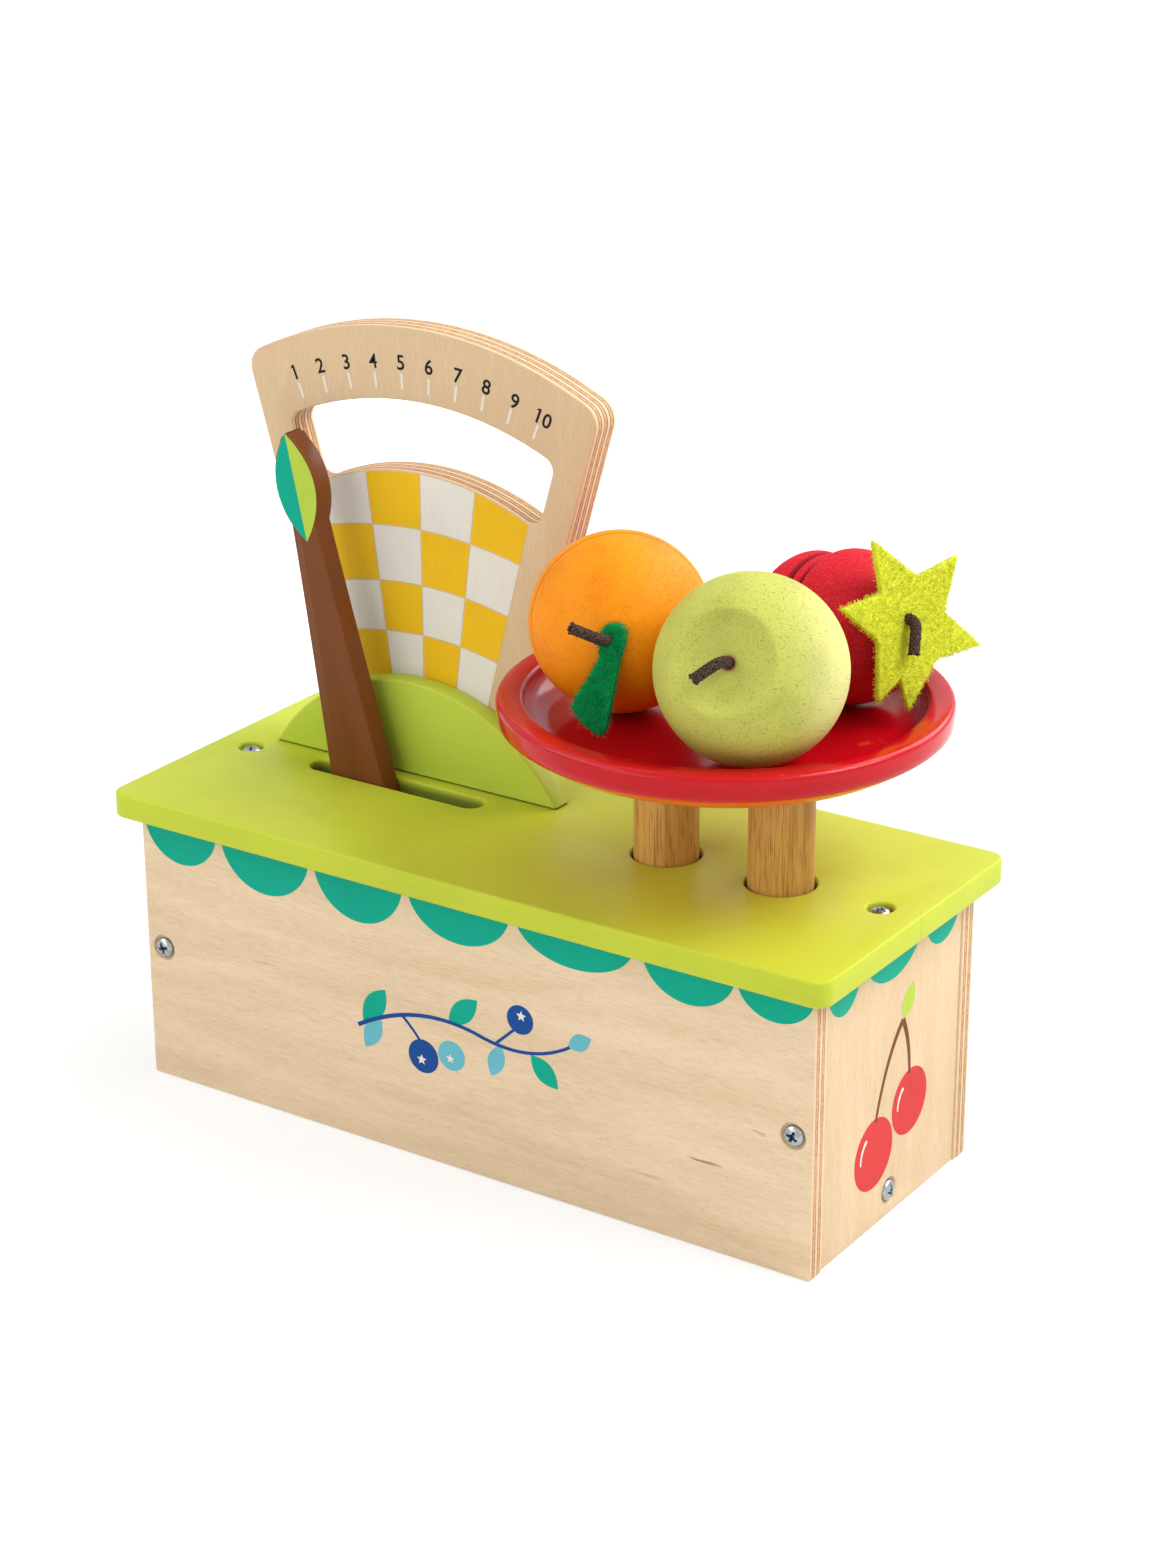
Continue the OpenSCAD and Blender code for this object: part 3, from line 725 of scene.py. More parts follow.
@dataclass(frozen=True)
class TurnedFruit:
    """Stain on a turned wooden ball, with end grain in rings round its own axis.

    The shares and strengths run from 0 to 1; marks and speck are features in each metre; dark lines are drawn at
    given heights along the axis of seam_place, or else of place: the orange's seam, and painted shade in the tomato's
    grooves; bare is the radius of bare wood round the stem.
    """

    name: str
    hue: Hue
    deep: Hue
    place: Matrix
    marks: float = 1300.0
    mark_share: float = 0.12
    mottle: float = 0.45
    speckle: float = 0.35
    speck: float = 1800.0
    roughness: float = 0.46
    dark_line_heights: tuple[float, ...] = ()
    seam_place: Matrix | None = None
    dark_line_width: float = 0.45 * MM
    bare: float = 0.0
    nap: float = 0.0
    pore: float = 0.3
    fade: float = 0.0
    bloom: float = 0.0

    def make(self) -> Material:
        """Builds the material.

        Returns:
            The material.
        """
        shade = Shade(self.name)
        centre, turn = self.place.to_translation(), self.place.to_euler()
        local = shade.place(centre=centre, turn=turn)
        x, y, z = shade.parts(local)
        from_axis = (x * x + y * y).maths("SQRT")
        lathe_marks = shade.noise(shade.vector(from_axis, y * 0.06, z), self.marks, 3.0, 0.2)
        pores = shade.noise(shade.place((1, 1, 0.14), centre, turn), 2300.0, 1.0).ramp(0.6, 0.74)
        specks = shade.noise(local, self.speck, 2.0)
        clouds = shade.noise(local, 70.0, 3.0)
        tone = clouds.ramp(0.35, 0.75) * self.mottle + (lathe_marks - 0.5) * self.mark_share * 2
        tone = tone + (specks - 0.5) * self.speckle * 2
        colour = shade.mix(tone.ramp(0.0, 1.0), self.hue, self.deep)
        colour = shade.mix(pores * self.pore, colour, self.deep.toned(0.75))
        colour = shade.mix(specks.ramp(0.5, 0.66) * self.bloom, colour, self.hue.toned(0.84, 0.16))
        # A pale painted sheen on the side facing +X and +Y, standing in for the highlight of a lamp on the right.
        if self.fade:
            u, v, _ = shade.parts(shade.place(centre=centre))
            thin = (u * 0.83 + v * 0.56).ramp(6 * MM, 24 * MM) * self.fade
            colour = shade.mix(thin, colour, Hue.THIN_STAIN)
        seat = self.seam_place or self.place
        up = shade.parts(shade.place(centre=seat.to_translation(), turn=seat.to_euler()))[Axis.Z.value]
        # Dark lines at the given heights: the orange's seam, and painted shade in the tomato's grooves.
        for height in self.dark_line_heights:
            line = (up - height).maths("ABSOLUTE").ramp(self.dark_line_width, self.dark_line_width * 0.25)
            colour = shade.mix(line * 0.75, colour, self.deep.toned(0.35))
        if self.bare:
            near = from_axis.ramp(self.bare, self.bare * 0.6) * z.ramp(0.0, 10 * MM)
            colour = shade.mix(near, colour, Hue.BIRCH_STREAK)
        normal = shade.bump(specks * 0.6 + lathe_marks * 0.15 - pores * 0.7, 0.2 * MM, 0.8)
        rough = self.roughness + clouds * 0.1
        return shade.surface(colour, rough, normal, Specular_IOR_Level=0.14, Sheen_Weight=self.nap, Sheen_Tint=self.hue)


@dataclass(frozen=True)
class DowelWood:
    """Clear-lacquered dowel with dark flecks along it."""

    name: str
    grain: Axis = Axis.Z

    def make(self) -> Material:
        """Builds the material.

        Returns:
            The material.
        """
        shade = Shade(self.name)
        fibres = shade.noise(shade.along(self.grain, 0.04), 520.0, 3.0, 0.4)
        long_grain = shade.along(self.grain, 0.022)
        flecks = shade.noise(long_grain, 4600.0, 1.0)
        bands = shade.noise(long_grain, 150.0, 2.0)
        tone = bands.ramp(0.35, 0.65) * 0.45 + (fibres - 0.5) * 0.9
        colour = shade.mix(tone.ramp(0.0, 1.2), Hue.DOWEL, Hue.DOWEL_DARK)
        colour = shade.mix(flecks.ramp(0.56, 0.66) * 0.75, colour, Hue.DOWEL_DARK)
        normal = shade.bump(fibres - flecks.ramp(0.6, 0.7), 0.06 * MM, 0.6)
        return shade.surface(colour, 0.4 + fibres * 0.15, normal, Specular_IOR_Level=0.2)


@dataclass(frozen=True)
class Felt:
    """Wool felt."""

    name: str
    hue: Hue

    def make(self) -> Material:
        """Builds the material.

        Returns:
            The material.
        """
        shade = Shade(self.name)
        wool = shade.noise(shade.plain, 1300.0, 4.0, 2.5)
        lumps = shade.noise(shade.plain, 420.0, 3.0, 1.0)
        colour = shade.mix(wool.ramp(0.52, 0.72) * 0.5, self.hue, self.hue.toned(1.2, 0.012))
        colour = shade.mix((lumps * 0.5 + wool * 0.5).ramp(0.56, 0.36) * 0.34, colour, self.hue.toned(0.55))
        normal = shade.bump(wool * 0.6 + lumps * 0.4, 0.5 * MM, 0.9)
        return shade.surface(colour, 0.95, normal, Sheen_Weight=0.1, Sheen_Roughness=0.5, Specular_IOR_Level=0.05)


@dataclass(frozen=True)
class CordYarn:
    """Waxed cotton yarn of the braided stems."""

    name: str

    def make(self) -> Material:
        """Builds the material.

        Returns:
            The material.
        """
        shade = Shade(self.name)
        yarn = shade.noise(shade.plain, 2600.0, 3.0, 1.5)
        colour = shade.mix(yarn.ramp(0.35, 0.7), Hue.CORD_DARK, Hue.CORD)
        normal = shade.bump(yarn, 0.12 * MM, 0.8)
        return shade.surface(colour, 0.62 + yarn * 0.2, normal, Specular_IOR_Level=0.25)


@dataclass(frozen=True)
class Zinc:
    """Blue zinc plating on steel, with painted shade where the mesh says that it is cut in."""

    name: str
    roughness: float = 0.26
    cut: bool = False

    def make(self) -> Material:
        """Builds the material.

        Returns:
            The material.
        """
        shade = Shade(self.name)
        spangle = shade.noise(shade.plain, 900.0, 3.0, 0.6)
        colour = shade.mix(spangle.ramp(0.3, 0.75), Hue.ZINC, Hue.ZINC.toned(0.6))
        rough = self.roughness + spangle * 0.18
        # Painted shade in the cross recess, by the depth that the mesh carries.
        if self.cut:
            depth = shade.attribute("cut")
            colour = shade.mix(depth * 0.95, colour, Hue.ZINC_CUT)
            rough = rough + depth * 0.3
        normal = shade.bump(spangle, 0.03 * MM, 0.6)
        return shade.surface(colour, rough, normal, Metallic=1.0)


@dataclass(frozen=True)
class Ink:
    """Screen-printed ink, thin enough for the wood's fibres to show."""

    name: str
    hue: Hue
    grain: Axis = Axis.X
    wear: float = 0.25

    def make(self) -> Material:
        """Builds the material.

        Returns:
            The material.
        """
        shade = Shade(self.name)
        fibres = shade.noise(shade.along(self.grain, 0.06), 1900.0, 2.0)
        clouds = shade.noise(shade.plain, 40.0, 2.0)
        tone = (fibres - 0.5) * 0.9 + clouds.ramp(0.4, 0.8) * self.wear * 2
        colour = shade.mix(tone.ramp(-0.1, 1.0), self.hue, self.hue.toned(0.86))
        normal = shade.bump(fibres, 0.03 * MM, 0.6)
        return shade.surface(colour, 0.45 + fibres * 0.15, normal, Specular_IOR_Level=0.12)


# ---- mesh tools


def baked(source: Piece) -> bpy.types.Mesh:
    """The plain mesh that an object's modifiers give."""
    graph = bpy.context.evaluated_depsgraph_get()
    return bpy.data.meshes.new_from_object(source.evaluated_get(graph), depsgraph=graph)


def new_object(name: str, data: bpy.types.ID) -> Piece:
    """Links a mesh, a curve, a lamp or a camera into the scene.

    Args:
        name: The object's name, which the data takes too.
        data: What the object holds.

    Returns:
        The object.
    """
    data.name = name
    piece = bpy.data.objects.new(name, data)
    bpy.context.scene.collection.objects.link(piece)
    return piece


def from_bmesh(name: str, shape: Shape) -> Piece:
    """Turns a bmesh into a piece.

    Args:
        name: The piece's name.
        shape: The bmesh, which is freed.

    Returns:
        The piece.
    """
    mesh = bpy.data.meshes.new(name)
    shape.to_mesh(mesh)
    shape.free()
    return new_object(name, mesh)


def points_host(name: str, spots: Sequence[Vector], **columns: Sequence[float] | Sequence[Vector]) -> Piece:
    """Makes loose points for a tree to grow on.

    Args:
        name: The host's name.
        spots: Where the points are.
        columns: One number or one vector for each point, by the attribute's name.

    Returns:
        The host.
    """
    host = new_object(name, bpy.data.meshes.new(name))
    host.data.from_pydata(spots, [], [])
    for label, values in columns.items():
        if isinstance(values[0], Vector):
            flat = [part for value in values for part in value]
            host.data.attributes.new(label, "FLOAT_VECTOR", "POINT").data.foreach_set("vector", flat)
        else:
            host.data.attributes.new(label, "FLOAT", "POINT").data.foreach_set("value", values)
    return host


def dress(piece: Piece, material: Material, body: str, slot: str, nodes: Iterable[str] = ()) -> Piece:
    """Gives a piece its material and its body, and hides the nodes that it stands for.

    Args:
        piece: The finished piece.
        material: Its material.
        body: The body that it rides on.
        slot: Not used.
        nodes: CAD nodes that it replaces.

    Returns:
        The piece.
    """
    piece.data.materials.clear()
    piece.data.materials.append(material)
    piece.data.polygons.foreach_set("material_index", [0] * len(piece.data.polygons))
    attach(piece, body)
    if nodes:
        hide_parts(*nodes)
    LOG.info("%s on %s: %d faces", piece.name, body, len(piece.data.polygons))
    return piece


def eased(name: str, source: Piece, ease: float, steps: int = 3) -> Piece:
    """Copies a solid with its sharp edges rounded over, as sandpaper leaves them.

    Args:
        name: The new piece's name.
        source: The CAD node's object, which stays as it is.
        ease: How far the rounding reaches from each edge.
        steps: Facets across the rounding.

    Returns:
        The new piece.
    """
    shape = bmesh.new()
    shape.from_mesh(source.data)
    bmesh.ops.remove_doubles(shape, verts=shape.verts, dist=0.002 * MM)
    flat = math.radians(0.8)
    bmesh.ops.dissolve_limit(shape, angle_limit=flat, verts=shape.verts, edges=shape.edges)
    sharp = [e for e in shape.edges if e.is_manifold and e.calc_face_angle(0.0) > math.radians(35)]
    made = bmesh.ops.bevel(
        shape, geom=sharp, offset=ease, offset_type="OFFSET", segments=steps, profile=0.5, affect="EDGES"
    )
    rounded = set(made["faces"])
    for face in shape.faces:
        angles = [e.calc_face_angle(0.0) for e in face.edges if e.is_manifold]
        face.smooth = face in rounded or any(flat < a < math.radians(25) for a in angles)
    return from_bmesh(name, shape)


def rounded(
    name: str, frame: dict, node: str, ease: float, material: Material, body: str, slot: str, steps: int = 3
) -> None:
    """Stands a node's solid with eased edges in for the node."""
    dress(eased(name, frame["nodes"][node], ease, steps), material, body, slot, [node])


def middle_of(node: str) -> Vector:
    """The middle of a CAD node's box."""
    low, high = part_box(node)
    return (low + high) / 2


def unit(value: float) -> float:
    """A number kept between 0 and 1."""
    return max(0.0, min(1.0, value))


def level_ring(shape: Shape, radius: float, height: float, turns: int) -> Ring:
    """Adds a level ring of points round Z.

    Args:
        shape: The bmesh that they are added to.
        radius: The ring's radius; at 0 a single point stands for all of them.
        height: The ring's height.
        turns: How many points it has.

    Returns:
        The points in order.
    """
    if radius <= 0:
        return [shape.verts.new((0, 0, height))] * turns
    spots = [2 * math.pi * i / turns for i in range(turns)]
    return [shape.verts.new((radius * math.cos(a), radius * math.sin(a), height)) for a in spots]


def skin(shape: Shape, bands: Iterable[tuple[Ring, Ring]], smooth: bool = False) -> None:
    """Spans faces between closed rings.

    Args:
        shape: The bmesh that the rings are in.
        bands: Pairs of the lower and the upper ring.
        smooth: Whether the faces are shaded smooth.
    """
    for low, high in bands:
        for i in range(len(low)):
            j = (i + 1) % len(low)
            shape.faces.new(list(dict.fromkeys([low[i], low[j], high[j], high[i]]))).smooth = smooth


def lathe(name: str, profile: Sequence[Point], place: Matrix, turns: int = 96) -> Piece:
    """Turns a profile about the Z axis of a place.

    Args:
        name: The new piece's name.
        profile: Points of radius and height, from the lower pole to the upper one.
        place: Matrix from the profile's own frame to the model's.
        turns: Facets round the axis.

    Returns:
        The new piece, closed at both poles.
    """
    shape = bmesh.new()
    rings = [level_ring(shape, radius, height, turns) for radius, height in profile]
    skin(shape, zip(rings, rings[1:]), smooth=True)
    shape.transform(place)
    bmesh.ops.recalc_face_normals(shape, faces=shape.faces)
    return from_bmesh(name, shape)


def arc(centre: Point, radius: float, start: float, end: float, steps: int = 12) -> list[Point]:
    """Points round an arc, with its angles in degrees."""
    angles = [math.radians(start + (end - start) * i / steps) for i in range(steps + 1)]
    return [(centre[0] + radius * math.cos(a), centre[1] + radius * math.sin(a)) for a in angles]


def lens(root: Point, tip: Point, width: float, share: Point = (-1.0, 1.0), steps: int = 14) -> list[Point]:
    """Outline of a leaf between two arcs.

    Args:
        root: One end of the leaf.
        tip: Its other end.
        width: Its greatest width.
        share: How far each arc bulges to the left, from -1 to 1.
        steps: Points along each arc.

    Returns:
        The outline, anticlockwise.
    """
    start, end = Vector(root), Vector(tip)
    along = end - start
    left = Vector((-along.y, along.x)).normalized() * width / 2
    bulge = [4 * (i / steps) * (1 - i / steps) for i in range(steps + 1)]
    right_side = [start + along * i / steps + left * share[0] * bulge[i] for i in range(steps + 1)]
    left_side = [start + along * i / steps + left * share[1] * bulge[i] for i in range(steps - 1, 0, -1)]
    return [(p.x, p.y) for p in right_side + left_side]


def disc(centre: Point, radius: float, steps: int = 32) -> list[Point]:
    """Outline of a disc."""
    return arc(centre, radius, 0, 360 - 360 / steps, steps - 1)


def ribbon(route: Sequence[Point], start_width: float, end_width: float) -> list[Point]:
    """Outline of a tapering stroke.

    Args:
        route: Points along the stroke's middle.
        start_width: Its width at the first point.
        end_width: Its width at the last point.

    Returns:
        The outline.
    """
    line = [Vector(p) for p in route]
    left, right = [], []
    for i, spot in enumerate(line):
        ahead = line[min(i + 1, len(line) - 1)] - line[max(i - 1, 0)]
        across = Vector((-ahead.y, ahead.x)).normalized()
        half = (start_width + (end_width - start_width) * i / (len(line) - 1)) / 2
        left.append(spot + across * half)
        right.append(spot - across * half)
    return [(p.x, p.y) for p in right + left[::-1]]


def curve(start: Point, pull: Point, end: Point, steps: int = 12) -> list[Point]:
    """Points on a curve that leaves one point and reaches another, drawn to a third.

    Args:
        start: The first point.
        pull: The point that draws the curve.
        end: The last point.
        steps: Steps along the curve.

    Returns:
        The points, both ends included.
    """
    shares = [i / steps for i in range(steps + 1)]
    a, b, c = Vector(start), Vector(pull), Vector(end)
    spots = [a * (1 - t) ** 2 + b * 2 * t * (1 - t) + c * t * t for t in shares]
    return [(p.x, p.y) for p in spots]


def prints(name: str, outlines: Iterable[Outline], plane: Matrix, thickness: float) -> Piece:
    """Lays flat outlines on a plane as a thin closed film.

    Args:
        name: The new piece's name.
        outlines: Closed outlines, each anticlockwise or clockwise.
        plane: Matrix from the drawing to the frame; its Z points out of the surface.
        thickness: How thick the film is.

    Returns:
        The new piece.
    """
    shape = bmesh.new()
    for count, outline in enumerate(outlines):
        low = [shape.verts.new((x, y, -FILM_ROOT)) for x, y in outline]
        high = [shape.verts.new((x, y, thickness + count * FILM_STEP)) for x, y in outline]
        shape.faces.new(low)
        shape.faces.new(high)
        for i in range(len(outline)):
            j = (i + 1) % len(outline)
            shape.faces.new([low[i], low[j], high[j], high[i]])
    shape.transform(plane)
    bmesh.ops.recalc_face_normals(shape, faces=shape.faces)
    bmesh.ops.triangulate(shape, faces=[f for f in shape.faces if len(f.verts) > 4])
    return from_bmesh(name, shape)


def film(
    name: str, body: str, slot: str, outlines: Iterable[Outline], plane: Matrix, hue: Hue, grain: Axis,
    thickness: float = FILM,
) -> Piece:
    """A printed film that rides on a body, in ink of its own."""
    return dress(prints(name, outlines, plane, thickness), Ink(f"{name}_ink", hue, grain).make(), body, slot)


# ---- the box


@dataclass
class Casing:
    """The box: plywood panels, the painted top board and their prints."""

    frame: dict
    edge: float = 0.45 * MM
    top_edge: float = 0.8 * MM
    hill_edge: float = 0.7 * MM
    scallop_top: float = 84.45 * MM
    lid_joint: float = 0.8 * MM
    flaws: tuple[Flaw, ...] = (
        (80.5 * MM, 26.6 * MM, 14.0 * MM, 0.0, 0.85), (97.4 * MM, 40.4 * MM, 6.0 * MM, -0.22, 0.45),
        (-71.0 * MM, 47.0 * MM, 8.0 * MM, 0.03, 0.3))
    front_scallops: tuple[Span, ...] = (
        (-112.7, -85.8, 71.2), (-84.3, -52.1, 69.2), (-50.4, -19.0, 68.9), (-17.5, 17.4, 70.8),
        (19.1, 57.7, 73.1), (60.5, 89.6, 72.2), (89.8, 113.8, 74.1))
    end_scallops: tuple[Span, ...] = (
        (-37.5, -19.3, 72.8), (-16.8, 14.2, 72.9), (16.1, 36.5, 73.1))
    scallops: Growth = field(init=False)

    def build(self) -> None:
        """Builds every piece of the box."""
        self.scallops = self.scallop_tree()
        self.boards()
        for side in (Side.FRONT, Side.BACK):
            self.row(side, self.front_scallops)
        for side in (Side.RIGHT, Side.LEFT):
            self.row(side, self.end_scallops)
        self.berries()
        self.cherries()

    def plane(self, side: Side) -> Matrix:
        """The plane of a side of the box, with its origin at the foot of the side's middle.

        Args:
            side: The side.

        Returns:
            The matrix from a drawing to the frame.
        """
        end = "" if side in (Side.FRONT, Side.BACK) else "_end"
        low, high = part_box(f"{side.name.lower()}{end}_panel")
        out = Vector(side.value[2])
        reach = high if out.x + out.y > 0 else low
        return side.plane(Vector([abs(o) * r for o, r in zip(out, reach)]))

    def boards(self) -> None:
        """Rounds the boards' edges over and gives each its plies or its paint."""
        plies = {"front_panel": Axis.Y, "back_panel": Axis.Y, "left_end_panel": Axis.X,
                 "right_end_panel": Axis.X, "bottom_board": Axis.Z}
        for count, (node, through) in enumerate(plies.items()):
            low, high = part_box(node)
            grain = Axis.Z if through is Axis.X else Axis.X
            finish = Plywood(
                f"birch_{node}", grain, through, low[through.value], high[through.value],
                plies=5 if through is Axis.Y else 9, seed=0.31 * count,
                warmth=0.3 if through is Axis.Y else 0.6,
                flaws=self.flaws if node == "front_panel" else ())
            rounded(f"{node}_board", self.frame, node, self.edge, finish.make(), "box", "birch")
        # The lid's paint puts painted shade on the walls of its openings.
        lime = Paint("lime_paint", Hue.LIME, joint=self.lid_joint, top=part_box("top_board")[1].z).make()
        rounded("painted_top_board", self.frame, "top_board", self.top_edge, lime, "box", "lime_paint", 4)
        # The hill's paint has a painted contact shadow along its foot.
        grass = Paint("grass_paint", Hue.GRASS, foot=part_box("hill_panel")[0].z).make()
        rounded("painted_hill", self.frame, "hill_panel", self.hill_edge, grass, "box", "grass_paint")

    def scallop_tree(self) -> Growth:
        """Tree that hangs one half-round from each point of its host.

        Returns:
            The tree.
        """
        sizes = {"Arc": math.radians(180.0), "Film": FILM}
        tree = Growth("scallop_row", sizes)
        half = tree.size("Arc") * 0.5
        bow = tree.output("GeometryNodeCurveArc", {"mode": "RADIUS"}, {
            "Resolution": 40, "Radius": 1.0, "Start Angle": half * -1 - math.pi / 2, "Sweep Angle": tree.size("Arc")})
        chord = half.maths("SINE") * 2
        drop = 1 - half.maths("COSINE")
        level = tree.output("GeometryNodeSetPosition", inputs={
            0: bow, "Offset": tree.vector(y=half.maths("COSINE"))})
        closed = tree.output("GeometryNodeSetSplineCyclic", inputs={0: level, "Cyclic": True})
        sheet = tree.output("GeometryNodeFillCurve", {"mode": "NGONS"}, {0: closed})
        one = tree.vector(1 / chord, 1 / drop, 1.0)
        segment = tree.output("GeometryNodeTransform", inputs={0: sheet, "Scale": one})
        lifted = tree.output("GeometryNodeExtrudeMesh", {"mode": "FACES"}, {
            0: segment, "Offset": tree.vector(z=1.0), "Offset Scale": tree.size("Film"), "Individual": False})
        under = tree.output("GeometryNodeFlipFaces", inputs={0: segment})
        shell = tree.node("GeometryNodeJoinGeometry")
        tree.feed(shell.inputs[0], lifted)
        tree.feed(shell.inputs[0], under)
        whole = tree.output("GeometryNodeMergeByDistance", inputs={0: shell.outputs[0], "Distance": 0.001 * MM})
        scale = tree.vector(tree.attribute("span"), tree.attribute("drop"), 1.0)
        hung = tree.copies(tree.host_points(), whole, scale)
        tree.close(hung, Ink("teal_ink", Hue.TEAL).make())
        return tree

    def row(self, side: Side, spans: Sequence[Span]) -> None:
        """Prints one side's row of scallops.

        Args:
            side: The side of the box.
            spans: Left and right ends of each scallop at its top, and its lowest height, in mm.
        """
        name = f"{side.name.lower()}_scallops"
        host = points_host(
            name, [Vector(((left + right) / 2 * MM, self.scallop_top, 0.0)) for left, right, _ in spans],
            span=[(right - left) * MM for left, right, _ in spans],
            drop=[self.scallop_top - lowest * MM for _, _, lowest in spans])
        piece = self.scallops.grow(name, host)
        piece.data.transform(self.plane(side))
        dress(piece, self.scallops.material, "box", "birch")

    def berries(self) -> None:
        """Prints a sprig of berries on the front, with its outlines in mm."""
        tip, first, knee, second, root = (37.0, 49.0), (-14.0, 50.0), (8.0, 44.0), (24.0, 40.5), (-36.0, 36.5)
        stem = curve(root, first, knee) + curve(knee, second, tip)[1:]
        twigs = [curve((-20.0, 43.3), (-15.0, 39.0), (-13.0, 35.5)), curve((12.0, 43.4), (17.0, 48.0), (19.5, 50.5))]
        leaves = [((-34.0, 37.6), (-26.0, 50.0), 7.0), ((-4.0, 45.4), (6.0, 55.0), 6.6),
                  ((24.0, 43.2), (33.0, 35.0), 6.4)]
        pale = [((-28.0, 41.2), (-33.5, 30.0), 6.0), ((14.0, 43.4), (10.5, 33.0), 5.6),
                ((36.4, 49.0), (44.0, 53.5), 5.0)]
        crowns = [((-13.6, 31.4), 1.7), ((20.9, 54.2), 1.7), ((-3.6, 34.4), 1.5)]
        self.motif(Side.FRONT, Axis.X, {
            "leaf_print": (Hue.TEAL, 0.04, [lens(*leaf) for leaf in leaves]),
            "pale_leaf_print": (Hue.SKY, 0.052, [lens(*leaf) for leaf in pale]),
            "stem_print": (Hue.NAVY, 0.064, [ribbon(stem, 1.3, 0.9)] + [ribbon(t, 0.9, 0.8) for t in twigs]),
            "pale_berry_print": (Hue.SKY, 0.076, [disc((-3.2, 35.4), 4.6)]),
            "berry_print": (Hue.NAVY, 0.088, [disc((-13.0, 32.6), 5.2), disc((20.5, 53.0), 4.4)]),
            "crown_print": (Hue.WHITE, 0.11, [self.crown(*crown) for crown in crowns])})

    def cherries(self) -> None:
        """Prints a pair of cherries on the right end, with its outlines in mm."""
        join, balls = (5.0, 58.0), (((-9.6, 23.0), 10.6, 7.2), ((10.2, 31.0), 9.9, 6.7))
        stems = [curve(join, (-4.0, 50.0), (-9.0, 32.4)), curve(join, (9.4, 50.0), (9.6, 39.6))]
        self.motif(Side.RIGHT, Axis.Z, {
            "cherry_print": (Hue.CHERRY, 0.05, [disc(centre, radius, 48) for centre, radius, _ in balls]),
            "cherry_stem_print": (Hue.BARK, 0.07, [ribbon(stem, 1.9, 1.2) for stem in stems]),
            "cherry_leaf_print": (Hue.LEAF_LIME, 0.06, [lens(join, (10.5, 67.5), 6.4)]),
            "cherry_shine_print": (Hue.WHITE, 0.08, [
                ribbon(arc(centre, shine, 125, 185), 1.2, 0.7) for centre, _, shine in balls])})

    def motif(self, side: Side, grain: Axis, layers: Mapping[str, tuple[Hue, float, Iterable[Outline]]]) -> None:
        """Prints a motif on the box, one film for each colour.

        Args:
            side: The side of the box.
            grain: The way that the wood's grain runs there.
            layers: Ink, thickness and outlines in mm, by the film's name.
        """
        for name, (hue, thickness, outlines) in layers.items():
            metres = [[(x * MM, y * MM) for x, y in outline] for outline in outlines]
            film(name, "box", "birch", metres, self.plane(side), hue, grain, thickness * MM)

    @staticmethod
    def crown(centre: Point, radius: float) -> list[Point]:
        """The five-pointed crown of a berry.

        Args:
            centre: The crown's centre.
            radius: How far its points reach.

        Returns:
            The outline.
        """
        turns = [math.radians(36 * i + 18) for i in range(10)]
        reach = [radius if i % 2 == 0 else radius * 0.45 for i in range(10)]
        return [(centre[0] + r * math.cos(a), centre[1] + r * math.sin(a)) for r, a in zip(reach, turns)]


# ---- the dial


